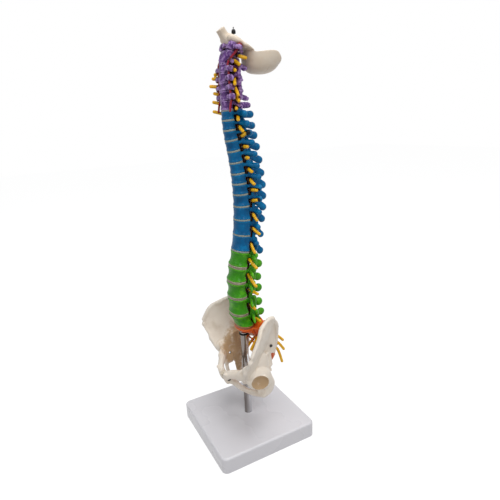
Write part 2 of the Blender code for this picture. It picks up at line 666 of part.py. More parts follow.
def vertebra(build, row, low, high, strands):
    """One free vertebra from C3 to L5, cleared of the strands that pass it."""
    region = REGIONS[row.name[0]]
    cervical = row.name[0] == "C"
    frame = between(low.canal, high.canal)
    back = frame.translation.y - 0.5 * (low.centre.y + high.centre.y)
    gap_low = 0.5 * low.region.disc + CLEAR
    gap_high = 0.5 * high.region.disc + CLEAR
    if cervical and row.name != "C7":
        gap_low = -0.5 * region.disc
    pedicle = 0.45 * row.pitch - gap_high
    solids = [
        body(low, high, gap_low, gap_high),
        arch(frame, region, 0.04 * row.pitch, pedicle, ARCH_DROP * row.pitch),
    ]
    wing_tip = (row.wing_out, row.wing_back - back, 0.12 * row.pitch * (not cervical) - row.wing_drop)
    if cervical:
        wing_foot = (region.canal_x - 1.0, -0.9 * region.canal_y, 0.1 * row.pitch)
    else:
        wing_foot = (region.canal_x + 0.5 * region.wall, 1.0, 0.2 * row.pitch)
    wing = bar(wing_foot, wing_tip, taper(region.wing_deep, region.wing_high), 6, Y_SIDE)
    solids += both(placed(wing, frame))
    spine_foot = (0.0, region.canal_y + 0.5 * region.wall, -0.06 * row.pitch)
    spine_tip = (0.0, row.spine_back - back, -row.spine_drop)
    solids.append(placed(bar(spine_foot, spine_tip, taper(region.spine_across, row.spine_deep)), frame))
    solids += facets(high, row.pitch, False) + facets(low, row.pitch, True)
    cuts = [
        tunnel(low.canal, high.canal, region.canal_x, region.canal_y),
        tunnel(low.centre, high.centre, CORE_HOLE, CORE_HOLE, 6),
    ]
    build.part(row.name, region.paint, solids, cuts + strands)


def disc(build, name, joint):
    """Soft pad between two bodies."""
    half = 0.5 * joint.region.disc
    wide, deep = joint.half_width * 0.97, joint.half_depth * 0.97
    pad = loft(
        [
            ring(joint.frame, wide * 0.95, deep * 0.95, BODY_SIDES, -half, FLAT_REAR),
            ring(joint.frame, wide, deep, BODY_SIDES, 0.0, FLAT_REAR),
            ring(joint.frame, wide * 0.95, deep * 0.95, BODY_SIDES, half, FLAT_REAR),
        ]
    )
    wide = CORE_HOLE * DISC_HOLE
    hole = loft([ring(joint.frame, wide, wide, 6, z) for z in (-2.0 * half, 2.0 * half)])
    build.part(name, "disc", [pad], [hole])


def axis_bone(build, low, atlas_canal, strands):
    """C2, whose dens stands in the ring of C1."""
    region = low.region
    foot = Vector((0.0, *DENS_FOOT))
    lean = -atan2(foot.y - low.centre.y, foot.z - low.centre.z) * 180.0 / pi
    frame = level(low.centre.y, low.centre.z, lean)
    arch_frame = between(low.canal, atlas_canal)
    shoulder = (foot - low.centre).length - ATLAS_MASS * 0.5 - CLEAR
    neck = [ring(frame, wide, deep, BODY_SIDES, z, flat) for wide, deep, z, flat in AXIS_BODY]
    foot_ring = ring(low.frame, low.half_width, low.half_depth, BODY_SIDES, -0.5 * region.disc, FLAT_REAR)
    solids = [
        loft([foot_ring] + neck),
        loft([ring(frame, r, r, BODY_SIDES, z) for r, z in DENS]),
        arch(arch_frame, region, *AXIS_ARCH),
    ]
    inner, (x, y, wide, deep) = AXIS_SHOULDERS
    solids += both(stack(frame, (inner, (x, y, shoulder, wide, deep))))
    start, end, wide, deep = AXIS_WING
    solids += both(placed(bar(start, end, taper(wide, deep), 6, Y_SIDE), frame))
    start, wide, deep = AXIS_SPINE
    tip = arch_frame.inverted() @ by_dens(*AXIS_SPINE_TIP)
    solids.append(placed(bar(start, tip, taper(wide, deep)), arch_frame))
    solids += facets(low, LEVELS[-2].pitch, True)
    cuts = [
        tunnel(low.canal, atlas_canal, region.canal_x, region.canal_y),
        tunnel(low.centre, foot, CORE_HOLE, CORE_HOLE, 6),
    ]
    build.part("C2", region.paint, solids, cuts + strands)


def atlas(build, frame, strands):
    """C1: a ring with two lateral masses."""
    radius, y, half = ATLAS_RING
    solids = [
        placed(
            loft([ring(Matrix(), radius, radius, 12, z) for z in (-half, half)]),
            frame @ Matrix.Translation((0.0, y, 0.0)),
        ),
    ]
    profile = tuple((share, *ATLAS_MASS_HALF) for share in (0.0, 1.0))
    low, high = ((*ATLAS_MASS_PLACE, z * ATLAS_MASS) for z in (-0.5, 0.5))
    solids += both(placed(bar(low, high, profile), frame))
    start, end, wide, deep = ATLAS_WING
    solids += both(placed(bar(start, end, taper(wide, deep), 6, Y_SIDE), frame))
    wide, deep, y = ATLAS_HOLE
    hole = loft([ring(Matrix(), wide, deep, 12, z) for z in (-6.0, 6.0)])
    cuts = [placed(hole, frame @ Matrix.Translation((0.0, y, 0.0)))]
    dens = loft([ring(Matrix(), DENS_ROOM, DENS_ROOM, BODY_SIDES, z) for z in (-6.0, 6.0)])
    build.part("C1", "purple", solids, cuts + [placed(dens, frame)] + strands)


def occiput(build, atlas_frame, strands):
    """Cut piece of the skull's floor: foramen ring, basilar bar, condyles and the hollow squama."""
    frame = level(*FORAMEN, FORAMEN_LEAN)
    y, z = BOWL
    bowl = []
    for inner in (False, True):
        for high, out in reversed(BOWL_ROWS) if inner else BOWL_ROWS:
            rx, ry, rz = (half - BOWL_WALL * inner for half in BOWL_HALF)
            shear = BOWL_FALL * (high > BOWL_RIM)
            bowl.append(ring(level(y, z + high * rz), rx * out, ry * out, 14, shear * ry, shear=shear))
    wide, deep, half = FORAMEN_RIM
    start, end, profile = BASILAR
    solids = [
        loft([ring(frame, wide, deep, 14, height) for height in (-half, half)]),
        loft(bowl),
        bar(by_foramen(*start), by_foramen(*end), profile),
    ]
    seat = 0.5 * ATLAS_MASS + CLEAR
    solids += both(stack(atlas_frame, [(x, y, seat + z, wide, deep) for x, y, z, wide, deep in CONDYLE]))
    start, end, profile = BOWL_NECK
    solids += both(bar(by_foramen(*start), by_foramen(*end), profile))
    hole = loft([ring(frame, *FORAMEN_HOLE, 12, height) for height in (-9.0, 12.0)])
    build.part("occiput", "bone", solids, [hole] + strands)


# Strands

def root_points(name, joint, pitch):
    """Course of one pair of nerve roots from the left tip to the right one."""
    out, back, up = ROOT_TIPS[name]
    region = joint.region
    y, z = joint.canal.y - 1.2, joint.centre.z + 0.54 * pitch - ROOT_RADIUS - CLEAR
    inner = region.canal_x + 0.6 * region.wall
    tip = Vector((out, joint.centre.y + back, joint.centre.z + up))
    inside = Vector((inner, y, z))
    knee = inside.lerp(tip, 0.75)
    if name[0] != "C":
        knee.y -= 0.6
    half = [tip, knee, inside]
    return half + [Vector((-p.x, p.y, p.z)) for p in reversed(half)]


def root_tube(points, grow=0.0, radius=ROOT_RADIUS):
    """Strand with rounded tips."""
    ends = len(points) - 1
    radii = [(radius if 0 < k < ends else radius * 0.7) + grow for k in range(len(points))]
    return tube(points, radii, grow)


def sacral_strands(grow=0.0):
    """Front and rear branches that leave the sacral canal."""
    found = []
    for out, canal, front, front_tip, rear, rear_tip in SACRAL_ROOTS:
        for knee, tip in ((front, front_tip), (rear, rear_tip)):
            course = ((out, tip), (out, knee), (out * 0.8, canal), (-0.4, canal))
            points = [Vector(raised((x, y, z))) for x, (y, z) in course]
            for k, (start, end) in enumerate(zip(points, points[1:])):
                reach = (end - start).normalized() * (0.5 + grow)
                thin = SACRAL_ROOT_RADIUS * (0.7 if k == 0 else 1.0) + grow
                thick = SACRAL_ROOT_RADIUS + grow
                start = start - reach * (k > 0 or grow > 0.0)
                profile = ((0.0, thin, thin), (1.0, thick, thick))
                found += both(bar(start, end + reach, profile, 5, (0.3, 0.5, 0.8)))
    return found


def artery_points(atlas_frame, column):
    """Left vertebral artery from its cut lower end to its loop behind the mass of C1."""
    rows = {row.name: joint for row, joint in zip(LEVELS, column)}
    out, back, up = ARTERY_FOOT
    points = [Vector((out, rows["T1"].centre.y + back, rows["T1"].centre.z + up))]
    for name, out in ARTERY_OUT:
        points.append(Vector((out, rows[name].centre.y - ARTERY_FRONT, rows[name].centre.z)))
    return points + [atlas_frame @ Vector(point) for point in ARTERY_LOOP]


def artery(points, grow=0.0):
    """Artery strand."""
    return tube(points, [ARTERY_RADIUS + grow] * len(points), grow)


# Pelvis

def sacrum_bone(build, joint, cuts):
    """Fused sacrum and coccyx with the canal and foramina of the sacral roots."""
    gap = 0.5 * joint.region.disc + CLEAR
    start, end, profile = SACRAL_CREST
    top_ring = ring(joint.frame, joint.half_width, joint.half_depth, BODY_SIDES, -gap, FLAT_REAR)
    narrow = joint.half_width - PROMONTORY_TAPER
    low_ring = ring(joint.frame, narrow, joint.half_depth, BODY_SIDES, -PROMONTORY - gap, FLAT_REAR)
    trunk = []
    for y, z, lean, wide, deep in reversed(SACRUM):
        trunk.append(ring(level(y, z + PELVIS_Z, lean), wide, deep, 12))
    solids = [
        loft(trunk),
        loft([low_ring, top_ring]),
        bar(raised(start), raised(end), profile),
    ]
    solids += facets(joint, LEVELS[0].pitch, False)
    canal = []
    for (y, z), (wide, deep) in zip(SACRAL_CANAL, SACRAL_CANAL_HALF):
        canal.append(ring(level(y, z + PELVIS_Z, SACRAL_CANAL_LEAN), wide, deep, 8))
    core = pin((0.0, ROD_Y, ROD_TOP - 4.0), (0.0, joint.centre.y, joint.centre.z), CORE_HOLE, 6)
    below = ROD_TOP - 70.0
    room = ROD_RADIUS + CLEAR + ROD_GUARD
    rod = pin((0.0, ROD_Y, below), (0.0, ROD_Y, ROD_TOP + CLEAR), room, 12)
    room = RING_RADIUS + CLEAR + ROD_GUARD
    ring_room = pin((0.0, ROD_Y, below), (0.0, ROD_Y, RING_Z + RING_HEIGHT), room, 12)
    build.part("sacrum_and_coccyx", "orange", solids, [loft(canal[::-1]), core, rod, ring_room] + cuts)


def hip_bone(build, name, left, cuts):
    """Ilium, ischium and pubis as one moulding."""
    blade = [[raised(point) for point in column] for column in ILIUM]
    bars = [
        bar(raised(start), raised(end), profile, 6, side)
        for start, end, profile, side in HIP_BARS
    ]
    joint_face = block((PUBIS_X, *PUBIS_LOW), (PUBIS_OUT, *PUBIS_HIGH))
    body = ball(raised(SOCKET_BODY), (SOCKET_BODY_RADIUS,) * 3)
    solids = [slab(blade, ILIUM_THICK), body, *bars[:6], joint_face, *bars[6:]]
    socket = ball(raised(SOCKET), (SOCKET_RADIUS,) * 3)
    middle = block(raised((-1.0, -60.0, -60.0)), raised((PUBIS_X, 60.0, 0.0)))
    cuts = [socket, middle] + cuts
    if not left:
        solids, cuts = [mirrored(solid) for solid in solids], [mirrored(cut) for cut in cuts]
    build.part(name, "bone", solids, cuts)


def joint_screw(grow=0.0):
    """Screw through the ilium into the sacrum, head outside."""
    x0, x1 = JOINT_SCREW_X
    shank = pin((x0 - grow, *JOINT_SCREW), (x1 + 0.5, *JOINT_SCREW), SCREW_RADIUS + grow)
    head = pin((x1 - grow, *JOINT_SCREW), (x1 + HEAD_HEIGHT + grow * 12.0, *JOINT_SCREW), HEAD_RADIUS + grow)
    return [shank, head]


def pubic_screw(grow=0.0):
    """Screw across the pubic joint with a head and a nut."""
    x = PUBIC_SCREW_X
    solids = [pin((-x - 1.0, *PUBIC_SCREW), (x + 1.0, *PUBIC_SCREW), PUBIC_SHANK + grow)]
    for side in (-1.0, 1.0):
        low, high = sorted((side * (x - grow), side * (x + PUBIC_HEAD_HEIGHT + grow * 14.0)))
        solids.append(pin((low, *PUBIC_SCREW), (high, *PUBIC_SCREW), PUBIC_HEAD + grow))
    return solids


# Stand and fittings

def rounded_square(half, corner, z):
    """Outline with rounded corners."""
    points = []
    for quarter in range(4):
        for step in range(4):
            turn = (quarter + step / 3.0) * pi * 0.5
            cx = (half - corner) * (1.0 if quarter in (0, 3) else -1.0)
            cy = (half - corner) * (1.0 if quarter in (0, 1) else -1.0)
            points.append(Vector((cx + corner * cos(turn), cy + corner * sin(turn), z)))
    return points


def stand(build):
    """Hollow base, chromed rod, its ring and the screw that holds it."""
    half, soft = 0.5 * BASE_SIZE, BASE_FILLET
    bevel = soft * (1.0 - cos(pi * 0.25))
    shell = loft(
        [
            rounded_square(half, BASE_CORNER, 0.0),
            rounded_square(half, BASE_CORNER, BASE_HEIGHT - soft),
            rounded_square(half - bevel, BASE_CORNER - bevel, BASE_HEIGHT - bevel),
            rounded_square(half - soft, BASE_CORNER - soft, BASE_HEIGHT),
        ]
    )
    inner, roof = half - BASE_WALL, BASE_HEIGHT - BASE_WALL
    hollow = loft([rounded_square(inner, BASE_CORNER - BASE_WALL, z) for z in (-1.0, roof)])
    base = to_object("base", shell, build.parts)
    build.combine(base, [hollow], "DIFFERENCE")
    ribs = [
        pin((0.0, ROD_Y, BOSS_FOOT), (0.0, ROD_Y, roof + 0.5), BOSS_RADIUS, 16),
        block((-RIB * 0.5, -inner - 0.5, roof - RIB_DEEP), (RIB * 0.5, inner + 0.5, roof + 0.5)),
        block((-inner - 0.5, ROD_Y - RIB * 0.5, roof - RIB_DEEP), (inner + 0.5, ROD_Y + RIB * 0.5, roof + 0.5)),
    ]
    build.combine(base, ribs, "UNION")
    room = ROD_RADIUS + CLEAR + SLIP
    screw_room = SCREW_RADIUS + CLEAR + SLIP
    bores = [
        pin((0.0, ROD_Y, ROD_SEAT - CLEAR), (0.0, ROD_Y, BASE_HEIGHT + 1.0), room, 16),
        pin((0.0, ROD_Y, 0.0), (0.0, ROD_Y, ROD_SEAT + 1.0), screw_room),
    ]
    build.combine(base, bores, "DIFFERENCE")
    build.finish(base, "base", "white")
    rod = pin((0.0, ROD_Y, ROD_SEAT), (0.0, ROD_Y, ROD_TOP), ROD_RADIUS, 16)
    thread = pin((0.0, ROD_Y, ROD_SEAT - 1.0), (0.0, ROD_Y, ROD_SEAT + SCREW_REACH + 1.0), screw_room)
    socket = pin((0.0, ROD_Y, ROD_TOP - CORE_PLUG - 1.0), (0.0, ROD_Y, ROD_TOP + 1.0), CORE_HOLE)
    build.part("stand_rod", "chrome", [rod], [thread, socket])
    collar, inside = (
        pin((0.0, ROD_Y, RING_Z - half), (0.0, ROD_Y, RING_Z + half), radius, 16)
        for half, radius in ((0.5 * RING_HEIGHT, RING_RADIUS), (2.0 * RING_HEIGHT, room))
    )
    build.part("rod_ring", "black", [collar], [inside])
    top = BOSS_FOOT - CLEAR
    screw = [
        pin((0.0, ROD_Y, top - HEAD_HEIGHT), (0.0, ROD_Y, top), HEAD_RADIUS),
        pin((0.0, ROD_Y, top - 0.5), (0.0, ROD_Y, ROD_SEAT + SCREW_REACH), SCREW_RADIUS),
    ]
    build.part("rod_screw", "steel", screw)


def fittings(build, core_path):
    """Core through the bones, its stopper and the hanging eye."""
    build.part("flexible_core", "black", [tube(core_path, [CORE_RADIUS] * len(core_path))])
    y, z = (foot + end for foot, end in zip(DENS_FOOT, CORE_END))
    foot = z + CORE_TILT + CLEAR
    knob = []
    for rise, share in STOPPER_FORM:
        radius = STOPPER_RADIUS * share
        knob.append(ring(level(y, foot), radius, radius, 10, rise * STOPPER_HEIGHT))
    build.part("stopper", "black", [loft(knob)])
    frame = level(y, foot + STOPPER_HEIGHT + CLEAR + EYE_RADIUS, 90.0)
    hoop = loft([ring(frame, EYE_RADIUS, EYE_RADIUS, 8, side) for side in (-EYE_HALF, EYE_HALF)])
    hole = loft([ring(frame, EYE_HOLE, EYE_HOLE, 6, side) for side in (-1.0, 1.0)])
    build.part("hanging_eye", "steel", [hoop], [hole])


def main():
    """Build every part of the model."""
    for obj in list(bpy.data.objects):
        bpy.data.objects.remove(obj)
    build = Builder("Spine model")
    column = joints()
    top = column[-1]
    atlas_frame = level(*DENS_FOOT, ATLAS_LEAN)
    atlas_canal = atlas_frame @ Vector((0.0, ATLAS_CANAL, 0.0))
    stand(build)

    core_path = [Vector((0.0, ROD_Y, ROD_TOP - CORE_PLUG)), Vector((0.0, ROD_Y, ROD_TOP))]
    core_path += [joint.centre for joint in column]
    dens = Vector((0.0, *DENS_FOOT))
    core_path += [dens, dens + (dens - top.centre).normalized() * DENS_CORE, by_dens(*CORE_END)]
    fittings(build, core_path)

    roots = []
    for i, joint in enumerate(column[:-1]):
        roots.append((ROOT_NAMES[LEVELS[i].name], joint, LEVELS[i].pitch))
    roots.append(("C3", top, LEVELS[-2].pitch))
    courses = [root_points(*root) for root in roots]
    second = [by_dens(y, z, x) for x, y, z in AXIS_ROOT]
    courses.append(second + [Vector((-p.x, p.y, p.z)) for p in reversed(second)])
    arteries = artery_points(atlas_frame, column)

    def strands(indexes, vessels=False):
        found = [root_tube(courses[k], ROOM) for k in indexes]
        if vessels:
            found += both(artery(arteries, ROOM))
        return found

    for i, row in enumerate(LEVELS[:-1]):
        neck = row.name[0] == "C"
        vertebra(build, row, column[i], column[i + 1], strands((i, i + 1), neck))
    last = len(column)
    axis_bone(build, top, atlas_canal, strands((last - 1, last), True))
    atlas(build, atlas_frame, strands((last,), True))
    occiput(build, atlas_frame, both(artery(arteries, ROOM)))
    for i, row in enumerate(LEVELS[:-1]):
        if row.name[0] != "C" or row.name == "C7":
            below = LEVELS[i - 1].name if i else "S1"
            disc(build, f"disc_{row.name}_{below}", column[i])

    sacral = [Vector((0.0, *raised(point))) for point in reversed(SACRAL_CANAL)]
    cord_path = [sacral[0].lerp(sacral[1], 0.3)] + sacral[1:-1]
    cord_path += [joint.canal for joint in column] + [atlas_canal] + [by_dens(*point) for point in CORD_END]
    sizes = [*CORD_TAIL] + [1.0] * (len(cord_path) - len(CORD_TAIL) - 1) + [CORD_TIP]
    cord = tube(cord_path, [CORD_RADIUS * size for size in sizes])
    build.part("spinal_cord", "yellow", [cord] + [root_tube(course) for course in courses] + sacral_strands())
    build.part("vertebral_artery_left", "crimson", [artery(arteries)])
    build.part("vertebral_artery_right", "crimson", [mirrored(artery(arteries))])

    both_screws = joint_screw(ROOM) + [mirrored(solid) for solid in joint_screw(ROOM)]
    sacrum_bone(build, column[0], sacral_strands(ROOM) + [root_tube(courses[0], ROOM)] + both_screws)
    for name, left in (("hip_bone_left", True), ("hip_bone_right", False)):
        hip_bone(build, name, left, joint_screw(ROOM) + pubic_screw(ROOM) + [root_tube(courses[0], ROOM)])
    build.part("sacroiliac_screw_left", "steel", joint_screw())
    build.part("sacroiliac_screw_right", "steel", [mirrored(solid) for solid in joint_screw()])
    build.part("pubic_screw", "steel", pubic_screw())
    pad = PUBIS_X - CLEAR
    build.part("pubic_disc", "disc", [block((-pad, *PUBIS_LOW), (pad, *PUBIS_HIGH))], pubic_screw(ROOM)[:1])


main()
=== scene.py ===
"""Dress of the half-size spine teaching model: painted mouldings, nerves, arteries, pelvis and stand.

Shapes are written in millimetres and become metres when a piece is finished.
"""

import logging
from dataclasses import dataclass, field
from enum import Enum
from math import atan2, copysign, cos, exp, pi, radians, sin, sqrt, tanh
from typing import Callable, Iterable, NamedTuple, Sequence

import bmesh
import bpy
import numpy as np
from mathutils import Matrix, Vector, noise

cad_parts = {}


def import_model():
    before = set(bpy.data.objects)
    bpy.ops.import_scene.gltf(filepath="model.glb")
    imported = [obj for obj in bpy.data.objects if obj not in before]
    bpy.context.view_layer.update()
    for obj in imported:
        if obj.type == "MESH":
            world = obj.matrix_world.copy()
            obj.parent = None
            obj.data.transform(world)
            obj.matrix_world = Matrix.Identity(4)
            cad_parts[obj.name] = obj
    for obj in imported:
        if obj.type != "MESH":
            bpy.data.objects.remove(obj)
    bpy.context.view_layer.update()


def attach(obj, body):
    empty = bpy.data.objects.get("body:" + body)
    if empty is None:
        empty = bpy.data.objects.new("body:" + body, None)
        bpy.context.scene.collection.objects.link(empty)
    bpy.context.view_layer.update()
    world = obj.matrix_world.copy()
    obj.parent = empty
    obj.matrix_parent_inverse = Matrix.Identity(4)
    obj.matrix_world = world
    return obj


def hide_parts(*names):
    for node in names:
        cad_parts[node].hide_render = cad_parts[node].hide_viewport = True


LOG = logging.getLogger("spine_model")
Triple = tuple[float, float, float]
Pair = tuple[float, float]
MM = 0.001
WELD = 1e-4
AIR = 0.36  # gap between two neighbouring mouldings
HERE = Matrix.Identity(4)
ROD_Y = 2.5
ROD_TOP = 129.4
ATLAS_MASS = 7.4  # height of a lateral mass of C1
SHARP = radians(40.0)  # edges of screws above this angle stay sharp


# Finishes


@dataclass(frozen=True)
class Finish:
    """A painted or self-coloured cast resin.

    Fields hold the main colour, a thin light one that is also painted on ridges as paler worn paint and a painted
    highlight, a thick dark one that is also painted in hollows as painted shade, the colour of the painted shade in
    recesses and round strands, how strongly the colour varies, the size of its blotches, gloss, and how rough the
    surface is.
    """

    name: str
    main: Triple
    light: Triple
    dark: Triple
    recess: Triple
    blotch: float = 90.0
    spread: float = 0.5
    roughness: float = 0.34
    coat: float = 0.25
    coat_roughness: float = 0.18
    relief: float = 0.25
    pore: float = 1400.0
    # strength of the paler paint and painted highlight on ridges and of the painted shade in hollows
    ridge: float = 0.6
    specular: float = 0.22

    def material(self) -> bpy.types.Material:
        """The shader of this finish, built once."""
        found = bpy.data.materials.get(self.name)
        if found:
            return found
        material, nodes, links, shader = blank_material(self.name)
        coords = nodes.new("ShaderNodeTexCoord")
        tint = group_node(nodes, mottle_and_light_group())
        for socket, value in (
            ("Main", (*self.main, 1.0)),
            ("Light", (*self.light, 1.0)),
            ("Dark", (*self.dark, 1.0)),
            ("Recess", (*self.recess, 1.0)),
            ("Blotch", self.blotch),
            ("Spread", self.spread),
            ("Ridge", self.ridge),
            ("Roughness", self.roughness),
            ("Pore", self.pore),
        ):
            tint.inputs[socket].default_value = value
        links.new(coords.outputs["Object"], tint.inputs["Vector"])
        # The convexity drives the paler paint and painted highlight on ridges and the painted shade in hollows; the
        # other attribute carries painted shade near strands.
        for socket, attribute in (("Convex", "ridge"), ("Wash", "wash")):
            reader = nodes.new("ShaderNodeAttribute")
            reader.attribute_name = attribute
            links.new(reader.outputs["Fac"], tint.inputs[socket])
        links.new(tint.outputs["Color"], shader.inputs["Base Color"])
        links.new(tint.outputs["Roughness"], shader.inputs["Roughness"])
        add_bump(nodes, links, tint.outputs["Height"], self.relief, 0.0003)
        shader.inputs["Coat Weight"].default_value = self.coat
        shader.inputs["Coat Roughness"].default_value = self.coat_roughness
        shader.inputs["Specular IOR Level"].default_value = self.specular
        return material


def srgb(red: int, green: int, blue: int) -> Triple:
    """Linear colour of three display values from 0 to 255."""
    found = []
    for value in (red, green, blue):
        share = value / 255.0
        found.append(share / 12.92 if share <= 0.04045 else ((share + 0.055) / 1.055) ** 2.4)
    return (found[0], found[1], found[2])


def blank_material(name: str) -> tuple:
    """A new node material.

    Args:
        name: name of the material.

    Returns:
        The material, its nodes, its links and its Principled shader.
    """
    material = bpy.data.materials.new(name)
    material.use_nodes = True
    nodes, links = material.node_tree.nodes, material.node_tree.links
    return material, nodes, links, nodes["Principled BSDF"]


def add_bump(
    nodes: bpy.types.Nodes, links: bpy.types.NodeLinks, height: bpy.types.NodeSocket, strength: float, distance: float
) -> None:
    """Feed a height to the normal of the tree's Principled shader."""
    bump = nodes.new("ShaderNodeBump")
    bump.inputs["Strength"].default_value = strength
    bump.inputs["Distance"].default_value = distance
    links.new(height, bump.inputs["Height"])
    links.new(bump.outputs["Normal"], nodes["Principled BSDF"].inputs["Normal"])


def group_node(nodes: bpy.types.Nodes, tree: bpy.types.NodeTree) -> bpy.types.Node:
    """A node that holds a shader node group."""
    node = nodes.new("ShaderNodeGroup")
    node.node_tree = tree
    return node


def new_group(name: str, inputs: Sequence[tuple], outputs: Sequence[tuple]) -> tuple:
    """An empty shader node group.

    Args:
        name: name of the group.
        inputs: rows of socket name, socket type and default value.
        outputs: rows of socket name and socket type.

    Returns:
        The tree, its group input node and its group output node.
    """
    tree = bpy.data.node_groups.new(name, "ShaderNodeTree")
    for label, kind, default in inputs:
        socket = tree.interface.new_socket(name=label, in_out="INPUT", socket_type=kind)
        if default is not None:
            socket.default_value = default
    for label, kind in outputs:
        tree.interface.new_socket(name=label, in_out="OUTPUT", socket_type=kind)
    return tree, tree.nodes.new("NodeGroupInput"), tree.nodes.new("NodeGroupOutput")


class Wires:
    """Short ways to add nodes to one tree."""

    def __init__(self, tree: bpy.types.NodeTree) -> None:
        """Keep the tree whose nodes are added."""
        self.tree = tree

    def feed(self, socket: bpy.types.NodeSocket, value: object) -> None:
        """Link a socket to an output, or set its value."""
        if isinstance(value, bpy.types.NodeSocket):
            self.tree.links.new(value, socket)
        elif value is not None:
            socket.default_value = value

    def math(self, operation: str, first: object, second: object = None, clamp: bool = False) -> bpy.types.NodeSocket:
        """Result of a Math node."""
        node = self.tree.nodes.new("ShaderNodeMath")
        node.operation, node.use_clamp = operation, clamp
        self.feed(node.inputs[0], first)
        self.feed(node.inputs[1], second)
        return node.outputs[0]

    def ramp(
        self, value: object, low: float, high: float, start: float = 0.0, end: float = 1.0,
    ) -> bpy.types.NodeSocket:
        """A value moved smoothly from one range to another."""
        node = self.tree.nodes.new("ShaderNodeMapRange")
        node.interpolation_type = "SMOOTHSTEP"
        for name, number in (("From Min", low), ("From Max", high), ("To Min", start), ("To Max", end)):
            node.inputs[name].default_value = number
        self.feed(node.inputs["Value"], value)
        return node.outputs["Result"]

    def noise(self, vector: object, scale: object, detail: float = 3.0, rough: float = 0.55) -> bpy.types.NodeSocket:
        """Value of a Noise texture."""
        node = self.tree.nodes.new("ShaderNodeTexNoise")
        self.feed(node.inputs["Vector"], vector)
        self.feed(node.inputs["Scale"], scale)
        node.inputs["Detail"].default_value = detail
        node.inputs["Roughness"].default_value = rough
        return node.outputs[0]

    def mix(self, share: object, first: object, second: object) -> bpy.types.NodeSocket:
        """Mix of two colours."""
        node = self.tree.nodes.new("ShaderNodeMix")
        node.data_type = "RGBA"
        self.feed(node.inputs[0], share)
        self.feed(node.inputs[6], first)
        self.feed(node.inputs[7], second)
        return node.outputs[2]


def mottle_and_light_group() -> bpy.types.NodeTree:
    """Colour, gloss and pores of a cast moulding, with paler worn paint and a painted highlight on ridges and painted
    shade in hollows and recesses, shared by all its finishes.
    """
    found = bpy.data.node_groups.get("CastMottle")
    if found:
        return found
    white = (1.0, 1.0, 1.0, 1.0)
    tree, source, sink = new_group(
        "CastMottle",
        (
            ("Vector", "NodeSocketVector", None),
            ("Convex", "NodeSocketFloat", 0.0),
            ("Wash", "NodeSocketFloat", 0.0),
            ("Main", "NodeSocketColor", white),
            ("Light", "NodeSocketColor", white),
            ("Dark", "NodeSocketColor", white),
            ("Recess", "NodeSocketColor", white),
            ("Blotch", "NodeSocketFloat", 90.0),
            ("Spread", "NodeSocketFloat", 0.5),
            ("Ridge", "NodeSocketFloat", 0.5),
            ("Roughness", "NodeSocketFloat", 0.35),
            ("Pore", "NodeSocketFloat", 1400.0),
        ),
        (("Color", "NodeSocketColor"), ("Roughness", "NodeSocketFloat"), ("Height", "NodeSocketFloat")),
    )
    wires, use = Wires(tree), source.outputs
    cloud = wires.noise(use["Vector"], use["Blotch"], 4.0, 0.6)
    fine = wires.noise(use["Vector"], wires.math("MULTIPLY", use["Blotch"], 5.0), 3.0, 0.6)
    thick = wires.math("MULTIPLY", wires.ramp(cloud, 0.50, 0.72), use["Spread"])
    thin = wires.math("MULTIPLY", wires.ramp(cloud, 0.50, 0.30), use["Spread"])
    colour = wires.mix(thick, use["Main"], use["Dark"])
    colour = wires.mix(thin, colour, use["Light"])
    # Ridges take the light colour: partly paler worn paint, partly a painted highlight.
    ridge_wear_and_highlight = wires.math("MULTIPLY", wires.ramp(use["Convex"], 0.15, 0.9), use["Ridge"])
    ridge_wear_and_highlight = wires.math("MULTIPLY", ridge_wear_and_highlight, wires.ramp(fine, 0.35, 0.6, 0.45, 1.0))
    colour = wires.mix(ridge_wear_and_highlight, colour, use["Light"])
    # Hollows take the dark colour as painted shade.
    hollow = wires.ramp(use["Convex"], -0.15, -1.0)
    hollow = wires.math("MULTIPLY", hollow, use["Ridge"])
    colour = wires.mix(hollow, colour, use["Dark"])
    # Near strands and shade lines the recess colour is laid on as painted shade, with a ragged edge.
    ragged = wires.math("ADD", use["Wash"], wires.ramp(fine, 0.3, 0.7, -0.18, 0.18))
    shade_share = wires.ramp(ragged, 0.25, 0.85)
    colour = wires.mix(shade_share, colour, use["Recess"])
    wires.feed(sink.inputs["Color"], colour)
    uneven = wires.ramp(fine, 0.3, 0.7, -0.06, 0.08)
    wires.feed(sink.inputs["Roughness"], wires.math("ADD", use["Roughness"], uneven, True))
    pores = wires.noise(use["Vector"], use["Pore"], 2.0, 0.5)
    swell = wires.noise(use["Vector"], wires.math("MULTIPLY", use["Blotch"], 2.6), 2.0, 0.5)
    height = wires.math("ADD", wires.math("MULTIPLY", pores, 0.35), swell)
    wires.feed(sink.inputs["Height"], height)
    return tree


PURPLE = Finish(
    "CervicalPurple", srgb(92, 48, 122), srgb(184, 150, 206), srgb(34, 12, 46), srgb(70, 2, 18),
    blotch=230.0, spread=0.9, roughness=0.32, coat=0.12, relief=0.8, ridge=0.85, specular=0.25,
)
BLUE = Finish(
    "ThoracicBlue", srgb(0, 90, 140), srgb(8, 126, 178), srgb(0, 54, 92), srgb(2, 18, 28),
    blotch=70.0, spread=0.6, roughness=0.34, coat=0.03, specular=0.14, relief=0.22, ridge=0.4,
)
GREEN = Finish(
    "LumbarGreen", srgb(54, 138, 14), srgb(106, 194, 32), srgb(28, 96, 8), srgb(6, 34, 8),
    blotch=80.0, spread=0.6, roughness=0.34, coat=0.05, specular=0.16, relief=0.3, ridge=0.5,
)
ORANGE = Finish(
    "SacralOrange", srgb(214, 82, 18), srgb(236, 120, 40), srgb(168, 46, 8), srgb(120, 16, 8),
    blotch=90.0, spread=0.6, roughness=0.38, coat=0.15, relief=0.35, ridge=0.45,
)
BONE = Finish(
    "BoneIvory", srgb(234, 222, 207), srgb(236, 228, 218), srgb(202, 184, 160), srgb(188, 158, 122),
    blotch=45.0, spread=0.5, roughness=0.42, coat=0.10, relief=0.22, ridge=0.35,
)
